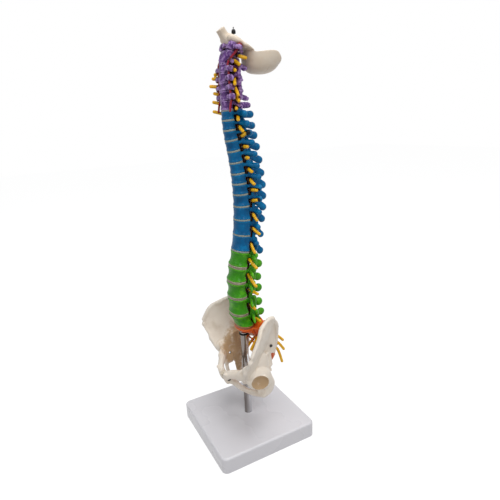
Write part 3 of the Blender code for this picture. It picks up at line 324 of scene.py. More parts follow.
SKULL = Finish(
    "SkullIvory", srgb(222, 205, 184), srgb(224, 213, 198), srgb(184, 163, 136), srgb(188, 150, 130),
    blotch=40.0, spread=0.6, roughness=0.44, coat=0.08, relief=0.2, ridge=0.3,
)
NERVE = Finish(
    "NerveYellow", srgb(236, 178, 14), srgb(244, 196, 48), srgb(222, 156, 10), srgb(74, 32, 8),
    blotch=120.0, spread=0.4, roughness=0.34, coat=0.2, relief=0.12, ridge=0.0,
)
ARTERY = Finish(
    "ArteryCrimson", srgb(146, 4, 36), srgb(160, 14, 48), srgb(104, 2, 22), srgb(84, 2, 16),
    blotch=160.0, spread=0.4, roughness=0.28, coat=0.15, relief=0.1, ridge=0.0,
)
RUBBER = Finish(
    "BlackRubber", srgb(16, 16, 17), srgb(30, 30, 31), srgb(9, 9, 10), srgb(5, 5, 5),
    blotch=300.0, spread=0.4, roughness=0.5, coat=0.0, relief=0.15, ridge=0.2,
)


@dataclass(frozen=True)
class DiscFinish:
    """A soft disc whose edges are paler than its middle."""

    name: str
    edge: Triple
    middle: Triple
    roughness: float = 0.45

    def material(self) -> bpy.types.Material:
        """The shader of this finish, built once."""
        found = bpy.data.materials.get(self.name)
        if found:
            return found
        material, nodes, links, shader = blank_material(self.name)
        wires = Wires(material.node_tree)
        coords = nodes.new("ShaderNodeTexCoord")
        band = nodes.new("ShaderNodeAttribute")
        band.attribute_name = "band"
        spot = wires.noise(coords.outputs["Object"], 260.0, 3.0, 0.6)
        shifted = wires.math("ADD", band.outputs["Fac"], wires.ramp(spot, 0.3, 0.7, -0.22, 0.22))
        colour = wires.mix(wires.ramp(shifted, 0.25, 0.8), (*self.middle, 1.0), (*self.edge, 1.0))
        blot = wires.ramp(wires.noise(coords.outputs["Object"], 110.0, 2.0, 0.5), 0.35, 0.65, 0.0, 0.35)
        links.new(wires.mix(blot, colour, (*self.edge, 1.0)), shader.inputs["Base Color"])
        add_bump(nodes, links, spot, 0.4, 0.0003)
        links.new(wires.ramp(spot, 0.3, 0.7, self.roughness - 0.06, self.roughness + 0.08), shader.inputs["Roughness"])
        shader.inputs["Coat Weight"].default_value = 0.1
        return material


LUMBAR_DISC = DiscFinish("LumbarDisc", srgb(172, 168, 142), srgb(112, 98, 80))
THORACIC_DISC = DiscFinish("ThoracicDisc", srgb(152, 160, 152), srgb(126, 132, 124))
SACRAL_DISC = DiscFinish("SacralDisc", srgb(168, 104, 60), srgb(128, 66, 40))
PUBIC_PAD = DiscFinish("PubicPad", srgb(214, 202, 182), srgb(200, 186, 162))


@dataclass(frozen=True)
class MetalFinish:
    """Bare or plated metal with fine drawn lines, finger marks and broad darker upright bands painted in as
    reflections.
    """

    name: str
    colour: Triple
    dull: Triple
    roughness: float
    streak: float
    grain: Triple = (500.0, 500.0, 12.0)
    # tone and share of the broad bands painted in as reflections
    reflection_dark: Triple = (0.1, 0.09, 0.08)
    reflection_share: float = 0.0

    def material(self) -> bpy.types.Material:
        """The shader of this finish, built once."""
        found = bpy.data.materials.get(self.name)
        if found:
            return found
        material, nodes, links, shader = blank_material(self.name)
        wires = Wires(material.node_tree)
        coords = nodes.new("ShaderNodeTexCoord")
        stretch = nodes.new("ShaderNodeMapping")
        stretch.inputs["Scale"].default_value = self.grain
        links.new(coords.outputs["Object"], stretch.inputs["Vector"])
        lines = wires.noise(stretch.outputs["Vector"], 1.0, 2.0, 0.6)
        marks = wires.noise(coords.outputs["Object"], 60.0, 3.0, 0.6)
        share = wires.ramp(marks, 0.45, 0.75, 0.0, 0.6)
        tone = wires.mix(share, (*self.colour, 1.0), (*self.dull, 1.0))
        # Painted reflection: broad upright bands darken the colour towards a dark tone.
        wide = nodes.new("ShaderNodeMapping")
        wide.inputs["Scale"].default_value = (300.0, 300.0, 2.5)
        links.new(coords.outputs["Object"], wide.inputs["Vector"])
        reflection_bands = wires.ramp(wires.noise(wide.outputs["Vector"], 1.0, 1.0, 0.5), 0.44, 0.6, 0.0, self.reflection_share)
        links.new(wires.mix(reflection_bands, tone, (*self.reflection_dark, 1.0)), shader.inputs["Base Color"])
        rough = wires.math("ADD", wires.ramp(lines, 0.3, 0.7, 0.0, self.streak), self.roughness)
        rough = wires.math("ADD", rough, wires.ramp(marks, 0.45, 0.75, 0.0, 0.08))
        links.new(rough, shader.inputs["Roughness"])
        shader.inputs["Metallic"].default_value = 1.0
        add_bump(nodes, links, lines, 0.05, 0.0001)
        return material


# The chrome's darker upright bands are painted reflections.
CHROME = MetalFinish(
    "RodChrome", srgb(206, 206, 208), srgb(170, 168, 170), 0.08, 0.06, reflection_dark=srgb(112, 100, 92), reflection_share=0.8
)
STEEL = MetalFinish("ScrewSteel", srgb(96, 92, 90), srgb(52, 50, 48), 0.3, 0.12, (900.0, 900.0, 900.0))


@dataclass(frozen=True)
class PlasticFinish:
    """Injection-moulded plastic with a fine spark texture, faint sink marks and scuffs."""

    name: str
    colour: Triple
    scuff: Triple
    roughness: float = 0.26
    texture: float = 1500.0

    def material(self) -> bpy.types.Material:
        """The shader of this finish, built once."""
        found = bpy.data.materials.get(self.name)
        if found:
            return found
        material, nodes, links, shader = blank_material(self.name)
        wires = Wires(material.node_tree)
        coords = nodes.new("ShaderNodeTexCoord")
        place = coords.outputs["Object"]
        cloud = wires.noise(place, 14.0, 3.0, 0.5)
        spark = wires.noise(place, self.texture, 2.0, 0.6)
        share = wires.ramp(cloud, 0.4, 0.8, 0.0, 0.5)
        links.new(wires.mix(share, (*self.colour, 1.0), (*self.scuff, 1.0)), shader.inputs["Base Color"])
        rough = wires.ramp(cloud, 0.3, 0.7, self.roughness - 0.04, self.roughness + 0.06)
        links.new(rough, shader.inputs["Roughness"])
        add_bump(nodes, links, spark, 0.16, 0.0002)
        shader.inputs["Coat Weight"].default_value = 0.12
        shader.inputs["Coat Roughness"].default_value = 0.25
        return material


BASE_WHITE = PlasticFinish("BaseWhite", srgb(214, 212, 216), srgb(212, 210, 214))


# Shaping


class Section(NamedTuple):
    """One cross-section of a sweep: its centre and its two half axes."""

    centre: Vector
    across: Vector
    deep: Vector


class Outline(Enum):
    """Form of a cross-section."""

    ROUND = 2.0
    SOFT = 2.6
    BOXY = 3.6
    KIDNEY = 2.2

    def at(self, turn: float) -> Pair:
        """Point of the outline at an angle, for half axes of 1."""
        x, y = cos(turn), sin(turn)
        power = 2.0 / self.value
        x, y = copysign(abs(x) ** power, x), copysign(abs(y) ** power, y)
        if self is Outline.KIDNEY and y > 0.0:
            y = 0.80 * tanh(1.7 * y) / tanh(1.7) - 0.09 * exp(-((x / 0.4) ** 2))
        return x, y


def aim(axis: Vector, side: Vector) -> Matrix:
    """Rotation with z along the axis and x as near the side direction as it can be."""
    up = axis.normalized()
    across = (side - up * up.dot(side)).normalized()
    return Matrix((across, up.cross(across), up)).transposed()


def level(y: float, z: float, lean: float = 0.0) -> Matrix:
    """Frame whose +y points to the rear and +z up the column, leaning about X by degrees."""
    return Matrix.Translation((0.0, y, z)) @ Matrix.Rotation(radians(lean), 4, "X")


def between(low: Vector, high: Vector) -> Matrix:
    """Frame half-way from one point to another, with +z towards the second."""
    step, middle = high - low, (low + high) * 0.5
    return level(middle.y, middle.z, -atan2(step.y, step.z) * 180.0 / pi)


def section(frame: Matrix, half_x: float, half_y: float, centre: Triple = (0.0, 0.0, 0.0)) -> Section:
    """Cross-section that lies level in a frame."""
    turn = frame.to_3x3()
    return Section(frame @ Vector(centre), turn @ Vector((half_x, 0.0, 0.0)), turn @ Vector((0.0, half_y, 0.0)))


def mixed(sections: Sequence[Section], share: float) -> Section:
    """Cross-section at a share of the way through a smooth run of them."""
    last = len(sections) - 1
    place = min(max(share * last, 0.0), last - 1e-6)
    k = int(place)
    t = place - k
    rows = [sections[min(max(k + step, 0), last)] for step in (-1, 0, 1, 2)]
    weights = (
        0.5 * (-t + 2 * t * t - t**3),
        0.5 * (2 - 5 * t * t + 3 * t**3),
        0.5 * (t + 4 * t * t - 3 * t**3),
        0.5 * (t**3 - t * t),
    )
    made = [sum((row[part] * w for row, w in zip(rows, weights)), Vector((0.0, 0.0, 0.0))) for part in range(3)]
    return Section(*made)


def mirrored(points: Iterable[Sequence[float]]) -> list[Vector]:
    """Points on the model's other side."""
    return [Vector((-p[0], p[1], p[2])) for p in points]


class Clay:
    """Soft solids, in millimetres, that are pressed together into one closed moulding."""

    def __init__(self) -> None:
        """Start with no solid."""
        self.bm = bmesh.new()

    def add(self, solid: bmesh.types.BMesh) -> None:
        """Put a solid with the others and free it."""
        carrier = bpy.data.meshes.new("carrier")
        solid.to_mesh(carrier)
        solid.free()
        self.bm.from_mesh(carrier)
        bpy.data.meshes.remove(carrier)

    def wrap(self, place: Callable[[float, float], Vector], around: int, along: int) -> None:
        """A closed skin from a grid rolled up round its first direction.

        Args:
            place: gives the point for a share round and a share along.
            around: faces round the skin.
            along: faces along it.
        """
        skin = bmesh.new()
        bmesh.ops.create_grid(skin, x_segments=around, y_segments=along, size=0.5)
        for vert in skin.verts:
            vert.co = place(vert.co.x + 0.5, vert.co.y + 0.5)
        bmesh.ops.remove_doubles(skin, verts=skin.verts, dist=WELD)
        bmesh.ops.holes_fill(skin, edges=[edge for edge in skin.edges if edge.is_boundary], sides=0)
        bmesh.ops.recalc_face_normals(skin, faces=skin.faces)
        self.add(skin)

    def sweep(
        self, sections: Sequence[Section], sides: int = 18, rows: int = 14, outline: Outline = Outline.ROUND
    ) -> None:
        """A solid through cross-sections, closed at both ends."""

        def place(share_round: float, share_along: float) -> Vector:
            row = mixed(sections, share_along)
            x, y = outline.at(2.0 * pi * share_round)
            return row.centre + row.across * x + row.deep * y

        self.wrap(place, sides, rows)

    def ball(self, centre: Sequence[float], radii: Sequence[float], turn: Matrix | None = None) -> None:
        """An ellipsoid, its axes turned by a rotation where one is given."""
        solid = bmesh.new()
        bmesh.ops.create_icosphere(solid, subdivisions=3, radius=1.0)
        turn = (turn or Matrix.Identity(3)).to_4x4()
        matrix = Matrix.Translation(centre) @ turn @ Matrix.Diagonal((*radii, 1.0))
        bmesh.ops.transform(solid, matrix=matrix, verts=solid.verts)
        self.add(solid)

    def limb(
        self,
        points: Sequence[Sequence[float]],
        sizes: Sequence[Pair],
        side: Triple = (1.0, 0.0, 0.0),
        frame: Matrix = HERE,
        outline: Outline = Outline.ROUND,
        sides: int = 16,
    ) -> None:
        """A bent bar with rounded ends.

        Args:
            points: its middle line.
            sizes: half width towards the side direction and half thickness, for each point.
            side: direction of the width.
            frame: frame in which the points are given.
            outline: form of its cross-section.
            sides: faces round it.
        """
        line = [frame @ Vector(point) for point in points]
        side_way = frame.to_3x3() @ Vector(side)
        rows, last = [], len(line) - 1
        for k, (point, (wide, thick)) in enumerate(zip(line, sizes)):
            turn = aim(line[min(k + 1, last)] - line[max(k - 1, 0)], side_way)
            rows.append(Section(point, turn @ Vector((wide, 0.0, 0.0)), turn @ Vector((0.0, thick, 0.0))))
            if k in (0, last):
                self.ball(point, (wide * 0.98, thick * 0.98, min(wide, thick) * 0.9), turn)
        self.sweep(rows, sides, 6 * last, outline)

    def pair(self, points: Sequence[Sequence[float]], sizes: Sequence[Pair], **options: object) -> None:
        """A bent bar and its mirror image."""
        self.limb(points, sizes, **options)
        self.limb(mirrored(points), sizes, **options)

    def balls(self, centre: Sequence[float], radii: Sequence[float], frame: Matrix = HERE) -> None:
        """An ellipsoid and its mirror image, given in a frame."""
        turn = frame.to_3x3()
        for x in (centre[0], -centre[0]):
            self.ball(frame @ Vector((x, centre[1], centre[2])), radii, turn)


class Sheet(NamedTuple):
    """A line that a moulding keeps clear of or is coloured along with painted shade: its points and its radius."""

    points: list[Vector]
    radius: float


def applied(obj: bpy.types.Object) -> bpy.types.Object:
    """The object with its modifiers made into mesh."""
    bpy.context.view_layer.update()
    done = bpy.data.meshes.new_from_object(obj.evaluated_get(bpy.context.evaluated_depsgraph_get()))
    obj.modifiers.clear()
    old, obj.data = obj.data, done
    bpy.data.meshes.remove(old)
    return obj


def mesh_object(name: str, solid: bmesh.types.BMesh) -> bpy.types.Object:
    """A new object in the scene from a solid, which is freed."""
    mesh = bpy.data.meshes.new(name)
    solid.to_mesh(mesh)
    solid.free()
    obj = bpy.data.objects.new(name, mesh)
    bpy.context.scene.collection.objects.link(obj)
    return obj


def carve(obj: bpy.types.Object, tool: bpy.types.Object, operation: str = "DIFFERENCE") -> None:
    """Cut a tool from a piece, or join it to the piece, and remove the tool."""
    step = obj.modifiers.new("step", "BOOLEAN")
    step.operation, step.solver, step.object = operation, "EXACT", tool
    applied(obj)
    bpy.data.objects.remove(tool)


def skin_over(obj: bpy.types.Object, voxel: float) -> None:
    """Give a piece one closed skin round all its solids."""
    skin = obj.modifiers.new("skin", "REMESH")
    skin.mode, skin.voxel_size = "VOXEL", voxel


def vectors(mesh: bpy.types.Mesh, name: str = "co") -> np.ndarray:
    """The points of a mesh, or another vector of each, one row each."""
    found = np.zeros(len(mesh.vertices) * 3)
    mesh.vertices.foreach_get(name, found)
    return found.reshape(-1, 3)


def move_points(mesh: bpy.types.Mesh, co: np.ndarray) -> None:
    """Put the points of a mesh at places in millimetres."""
    mesh.vertices.foreach_set("co", (co * MM).astype(np.float32).ravel())
    mesh.update()


def mark(mesh: bpy.types.Mesh, name: str, values: np.ndarray) -> None:
    """Store one number for each point of a mesh."""
    attribute = mesh.attributes.get(name) or mesh.attributes.new(name, "FLOAT", "POINT")
    attribute.data.foreach_set("value", values.astype(np.float32))


def nearest(co: np.ndarray, line: Sequence[Vector]) -> tuple[np.ndarray, np.ndarray]:
    """Nearest points of a line of points.

    Args:
        co: places to measure from, one row each.
        line: the line's points.

    Returns:
        The distance of each place, and the nearest point of the line.
    """
    best = np.full(len(co), 1e9)
    spot = np.zeros_like(co)
    for start, end in zip(line, line[1:]):
        a, d = np.array(start), np.array(end) - np.array(start)
        t = np.clip(((co - a) @ d) / max(float(d @ d), 1e-9), 0.0, 1.0)
        found = a + t[:, None] * d
        gap = np.linalg.norm(co - found, axis=1)
        closer = gap < best
        best[closer], spot[closer] = gap[closer], found[closer]
    return best, spot


@dataclass
class Moulding:
    """Turns clay into a finished piece.

    Fields hold the voxel size, how often the skin is smoothed, the depth and the size of its relief,
    how far the painted shade in the recess colour reaches, and the share of the faces that is kept.
    """

    voxel: float = 0.55
    smooth: int = 4
    relief: float = 0.12
    relief_size: float = 5.0
    shade_reach: float = 3.2
    keep: float = 1.0

    def cast(
        self,
        name: str,
        clay: Clay,
        strands: Sequence[Sheet] = (),
        cutters: Sequence[Clay] = (),
        dents: Sequence[tuple] = (),
        shade_lines: Sequence[Sheet] = (),
    ) -> bpy.types.Object:
        """One closed moulding from clay.

        Args:
            name: name of the piece.
            clay: its overlapping solids.
            strands: lines that it keeps clear of, with painted shade gathering round them.
            cutters: solids cut from it.
            dents: rows of centre, radius and depth of shallow hollows.
            shade_lines: lines round which the recess colour gathers as painted shade.

        Returns:
            The piece, in metres, with its ridge attribute and its attribute of painted shade.
        """
        obj = mesh_object(name, clay.bm)
        skin_over(obj, self.voxel)
        for cutter in cutters:
            applied(obj)
            tool = mesh_object("cutter", cutter.bm)
            skin_over(tool, self.voxel)
            carve(obj, applied(tool))
            skin_over(obj, self.voxel)
        soft = obj.modifiers.new("soft", "SMOOTH")
        soft.factor, soft.iterations = 0.5, self.smooth
        applied(obj)
        self.work(obj, strands, dents, shade_lines)
        if self.keep < 1.0:
            thin = obj.modifiers.new("thin", "DECIMATE")
            thin.ratio = self.keep
            applied(obj)
            obj.data.shade_smooth()
        return obj

    def work(
        self, obj: bpy.types.Object, strands: Sequence[Sheet], dents: Sequence[tuple], shade_lines: Sequence[Sheet]
    ) -> None:
        """Relief, hollows, clear ways and the colour attributes of a moulding, one of them painted shade near strands
        and shade lines.
        """
        mesh = obj.data
        co, normal = vectors(mesh), vectors(mesh, "normal")
        wave = np.array([noise.noise(Vector(p) / self.relief_size) for p in co])
        co = co + normal * (wave * self.relief)[:, None]
        for centre, radius, depth in dents:
            gap = np.linalg.norm(co - np.array(centre), axis=1)
            share = np.clip(1.0 - gap / radius, 0.0, 1.0)
            co = co - normal * (depth * share * share * (3.0 - 2.0 * share))[:, None]
        wash = np.zeros(len(co))
        for line, radius in strands:
            gap, spot = nearest(co, line)
            inside = gap < radius
            away = (co - spot) / np.maximum(gap, 1e-6)[:, None]
            co[inside] = (spot + away * radius)[inside]
        # Painted shade: the colour darkens towards the recess colour near the strands and the shade lines.
        for line, radius in (*strands, *shade_lines):
            gap, _ = nearest(co, line)
            wash = np.maximum(wash, np.clip(1.0 - (gap - radius) / self.shade_reach, 0.0, 1.0))
        move_points(mesh, co)
        mark(mesh, "wash", wash)
        mark(mesh, "ridge", self.convexity(mesh, co))
        mesh.shade_smooth()

    def convexity(self, mesh: bpy.types.Mesh, co: np.ndarray) -> np.ndarray:
        """How far each point stands out (above 0) or lies in a hollow (below 0)."""
        count = len(co)
        ends = np.zeros(len(mesh.edges) * 2, np.int32)
        mesh.edges.foreach_get("vertices", ends)
        a, b = ends.reshape(-1, 2).T
        degree = np.maximum(np.bincount(np.concatenate([a, b]), minlength=count), 1)
        normal = vectors(mesh, "normal")

        def mean(values: np.ndarray) -> np.ndarray:
            total = np.bincount(a, values[b], count) + np.bincount(b, values[a], count)
            return total / degree

        middle = co.copy()
        for _ in range(5):
            middle = np.stack([mean(middle[:, k]) for k in range(3)], axis=1)
        stand = ((co - middle) * normal).sum(1)
        for _ in range(2):
            stand = 0.5 * stand + 0.5 * mean(stand)
        return np.clip(stand / 0.16, -1.0, 1.0)


def even(obj: bpy.types.Object) -> None:
    """Mark a piece as having neither ridges nor recesses, so that it gets no paler edges, painted highlight or painted
    shade.
    """
    for name in ("ridge", "wash"):
        mark(obj.data, name, np.zeros(len(obj.data.vertices)))


def dress(obj: bpy.types.Object, finish: object, slot: str, *nodes: str) -> bpy.types.Object:
    """Give a finished piece its material and its body, and hide the CAD nodes that it stands for.

    Args:
        obj: the piece.
        finish: a finish with a material method.
        slot: material slot of the record; not used.
        nodes: CAD nodes that it replaces.

    Returns:
        The piece.
    """
    obj.data.materials.clear()
    obj.data.materials.append(finish.material())
    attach(obj, "root")
    if nodes:
        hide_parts(*nodes)
    LOG.info("%s: %d faces", obj.name, len(obj.data.polygons))
    return obj


# Column layout


class Level(NamedTuple):
    """One free vertebra with the disc under it."""

    name: str
    pitch: float
    back: float
    half_width: float
    half_depth: float
    spine_back: float
    spine_drop: float
    spine_deep: float
    wing_out: float
    wing_back: float
    wing_drop: float


class Region(NamedTuple):
    """What the vertebrae of one region share.

    The rim is the air between a body's edge and the nominal disc, which the disc's proud edge fills.
    """

    canal_x: float
    canal_y: float
    wall: float
    disc: float
    facet_wide: float
    spine_across: float
    rim: float
    proud: float
    finish: Finish
    slot: str


class Joint(NamedTuple):
    """Disc between two vertebrae."""

    frame: Matrix
    centre: Vector
    half_width: float
    half_depth: float
    canal: Vector
    region: Region


LEVELS = (
    Level("L5", 16.9, 3.0, 14.2, 10.0, 30.0, 3.5, 3.9, 20.5, 7.5, 0.0),
    Level("L4", 20.4, -2.6, 14.2, 10.2, 31.0, 6.0, 4.4, 21.0, 8.0, 0.0),
    Level("L3", 18.2, -3.3, 14.3, 10.2, 31.5, 7.5, 4.4, 22.0, 8.0, 0.0),
    Level("L2", 16.7, -3.2, 13.8, 10.0, 31.0, 8.0, 4.1, 21.0, 8.5, 0.0),
    Level("L1", 17.7, -0.5, 13.2, 9.7, 30.0, 8.5, 4.1, 19.5, 9.5, 0.0),
    Level("T12", 17.7, 3.6, 12.6, 9.4, 28.0, 12.5, 3.8, 12.5, 14.5, 2.0),
    Level("T11", 17.0, 6.5, 11.8, 9.1, 26.5, 13.0, 3.3, 13.0, 15.0, 2.0),
    Level("T10", 14.6, 7.9, 10.9, 8.9, 27.0, 12.5, 2.8, 14.0, 16.0, 2.0),
    Level("T9", 12.9, 8.3, 10.0, 8.6, 28.5, 14.5, 2.6, 14.5, 17.0, 2.0),
    Level("T8", 11.4, 8.0, 9.2, 8.3, 29.0, 15.5, 2.5, 15.0, 17.5, 2.5),
    Level("T7", 10.8, 7.3, 8.7, 8.0, 29.5, 15.5, 2.5, 15.0, 18.0, 3.0),
    Level("T6", 11.5, 6.2, 8.3, 7.7, 29.5, 14.4, 2.45, 15.0, 18.0, 3.0),
    Level("T5", 11.8, 4.7, 8.0, 7.4, 29.5, 12.5, 2.5, 15.0, 17.5, 3.0),
    Level("T4", 10.9, 2.8, 7.7, 7.1, 29.5, 10.0, 2.5, 15.0, 17.0, 2.5),
    Level("T3", 9.9, 0.8, 7.6, 6.9, 29.5, 7.5, 2.4, 15.0, 16.5, 2.5),
    Level("T2", 9.6, -0.7, 7.5, 6.6, 29.5, 5.0, 2.3, 15.0, 15.0, 2.0),
    Level("T1", 9.2, -1.5, 7.5, 6.4, 29.0, 2.0, 2.2, 15.5, 12.5, 1.0),
    Level("C7", 10.1, -1.9, 7.5, 6.1, 26.0, 2.0, 2.1, 15.5, 6.0, 1.0),
    Level("C6", 9.0, -2.3, 7.2, 5.9, 22.5, 2.5, 1.8, 15.8, -0.4, 1.8),
    Level("C5", 8.0, -2.5, 6.9, 5.7, 19.5, 2.5, 1.6, 15.2, -0.4, 1.6),
    Level("C4", 8.5, -2.6, 6.6, 5.5, 18.0, 2.5, 1.6, 14.8, -0.4, 1.6),
    Level("C3", 8.2, -2.45, 6.2, 5.3, 16.5, 3.0, 1.6, 14.1, -0.3, 1.7),
    Level("C2", 0.0, -2.0, 5.9, 5.1, 0.0, 0.0, 0.0, 0.0, 0.0, 0.0),
)
REGIONS = {
    "C": Region(5.0, 3.7, 1.6, 1.1, 2.2, 1.5, 0.12, 0.06, PURPLE, "cervical_purple"),
    "T": Region(4.4, 3.9, 1.8, 1.4, 2.2, 1.9, 0.3, 0.24, BLUE, "thoracic_blue"),
    "L": Region(5.5, 4.2, 2.3, 2.6, 2.9, 2.3, 0.42, 0.36, GREEN, "lumbar_green"),
}
ROOT_TIPS = {
    "C3": (13.0, 10.7, -2.8), "C4": (15.0, 4.6, 0.2), "C5": (16.0, 3.0, -4.1), "C6": (17.0, 5.6, -6.0),
    "C7": (17.0, 6.1, -2.5), "C8": (16.0, 2.4, 1.0), "T1": (14.0, 5.1, -0.5), "T2": (14.0, 9.3, -2.1),
    "T3": (14.0, 12.6, 7.0), "T4": (14.0, 10.5, 3.8), "T5": (14.0, 8.4, 4.3), "T6": (14.0, 10.6, 1.0),
    "T7": (14.0, 11.6, -1.4), "T8": (14.0, 14.0, 3.7), "T9": (14.0, 13.3, 6.4), "T10": (14.0, 12.5, -2.0),
    "T11": (15.0, 15.6, 0.0), "T12": (16.0, 11.0, -2.4), "L1": (21.0, 13.8, -0.6), "L2": (22.0, 14.0, -4.5),
    "L3": (23.0, 15.4, 5.2), "L4": (23.0, 10.2, 9.0), "L5": (23.0, 10.5, 9.6),
}
FAR_TIPS = {
    "C4": (17.0, -6.5, 410.6), "C5": (17.0, -9.0, 407.3), "C6": (17.0, -12.2, 400.3),
    "C7": (17.0, -8.5, 393.6), "C8": (17.0, -10.1, 385.4), "T1": (17.0, -10.4, 376.2),
}
NECK_SPINES = {
    "C3": (16.0, 404.2), "C4": (13.8, 399.5), "C5": (16.0, 394.0), "C6": (21.9, 386.6), "C7": (24.5, 380.7),
}
ROOT_NAMES = {"C3": "C4", "C4": "C5", "C5": "C6", "C6": "C7", "C7": "C8"}
ROOT_NAMES.update({f"{part}{k}": f"{part}{k}" for part, most in (("T", 12), ("L", 5)) for k in range(1, most + 1)})


def canal_back(half_depth: float, region: Region) -> float:
    """Centre of the canal behind the centre of a disc."""
    return 0.8 * half_depth + region.canal_y + 0.4


@dataclass
class Layout:
    """Where the discs, the canal, the atlas, the nerve roots and the arteries are."""

    sacral_disc_z: float = ROD_TOP + 9.3
    sacral_disc_lean: float = 0.0
    dens_foot: Pair = (3.2, 434.0)
    atlas_lean: float = -20.0
    root_radius: float = 1.75
    artery_radius: float = 1.1
    column: list[Joint] = field(default_factory=list)
    roots: list[list[Vector]] = field(default_factory=list)
    far_roots: list[list[Vector]] = field(default_factory=list)

    def __post_init__(self) -> None:
        """Work out the discs and the courses of the strands."""
        heights = [self.sacral_disc_z]
        for row in LEVELS[:-1]:
            heights.append(heights[-1] + row.pitch)
        for i, row in enumerate(LEVELS):
            low, high = max(i - 1, 0), min(i + 1, len(LEVELS) - 1)
            lean = -atan2(LEVELS[high].back - LEVELS[low].back, heights[high] - heights[low]) * 180.0 / pi
            frame = level(row.back, heights[i], self.sacral_disc_lean if i < 2 else lean)
            region = REGIONS[row.name[0]]
            canal = frame @ Vector((0.0, canal_back(row.half_depth, region), 0.0))
            self.column.append(
                Joint(frame, frame.translation.copy(), row.half_width, row.half_depth, canal, region)
            )
        self.atlas_frame = level(*self.dens_foot, self.atlas_lean)
        self.atlas_canal = self.atlas_frame @ Vector((0.0, 8.4, 0.0))
        for i, joint in enumerate(self.column[:-1]):
            self.roots.append(self.root_course(ROOT_NAMES[LEVELS[i].name], joint, LEVELS[i].pitch))
        self.roots.append(self.root_course("C3", self.column[-1], LEVELS[-2].pitch))
        self.roots.append([Vector(p) for p in ((10.0, 18.2, 423.3), (8.6, 15.0, 424.4), (6.2, 10.6, 425.8))])
        names = [ROOT_NAMES[row.name] for row in LEVELS[:-1]]
        for root, name in zip(self.roots, (*names, "C3", "C2")):
            far = mirrored(root)
            if name in FAR_TIPS:
                out, y, z = FAR_TIPS[name]
                tip = Vector((-out, y, z))
                far = [tip, far[2].lerp(tip, 0.6) + Vector((-1.6, 0.6, 0.4)), far[2]]
            self.far_roots.append(far)
        self.artery = self.artery_course()

    def root_course(self, name: str, joint: Joint, pitch: float) -> list[Vector]:
        """Left nerve root from its tip to the canal's wall."""
        out, back, up = ROOT_TIPS[name]
        y, z = joint.canal.y - 1.2, joint.centre.z + 0.54 * pitch - self.root_radius - AIR
        tip = Vector((out, joint.centre.y + back, joint.centre.z + up))
        inside = Vector((joint.region.canal_x + 0.6 * joint.region.wall, y, z))
        knee = inside.lerp(tip, 0.75)
        if name[0] != "C":
            knee.y -= 0.6
        return [tip, knee, inside]

    def artery_course(self) -> list[Vector]:
        """Left vertebral artery from its cut lower end to its loop behind the mass of C1."""
        rows = {row.name: joint for row, joint in zip(LEVELS, self.column)}
        points = [Vector((13.5, -5.2, 375.0)), Vector((13.3, -4.4, 380.5))]
        for name, out in (("C6", 13.0), ("C5", 12.4), ("C4", 11.9), ("C3", 11.3), ("C2", 10.8)):
            points.append(Vector((out, rows[name].centre.y - 0.9, rows[name].centre.z)))
        course = ((13.4, 3.8, -2.4), (13.4, 4.0, 2.4), (12.2, 6.4, 3.7), (9.4, 8.6, 3.6))
        return points + [self.atlas_frame @ Vector(point) for point in course]

    def strands(self, *indexes: int, vessels: bool = False) -> list[Sheet]:
        """Both roots of each index, and the arteries where they are asked for, with room round them."""
        found = []
        for k in indexes:
            inner = Vector((0.0, self.roots[k][-1].y, self.roots[k][-1].z))
            for root in (self.roots[k], self.far_roots[k]):
                found.append(Sheet([*root, inner], self.root_radius + 0.3))
        if vessels:
            found += [
                Sheet(self.artery, self.artery_radius + 0.3),
                Sheet(mirrored(self.artery), self.artery_radius + 0.3),
            ]
        return found


# Vertebrae


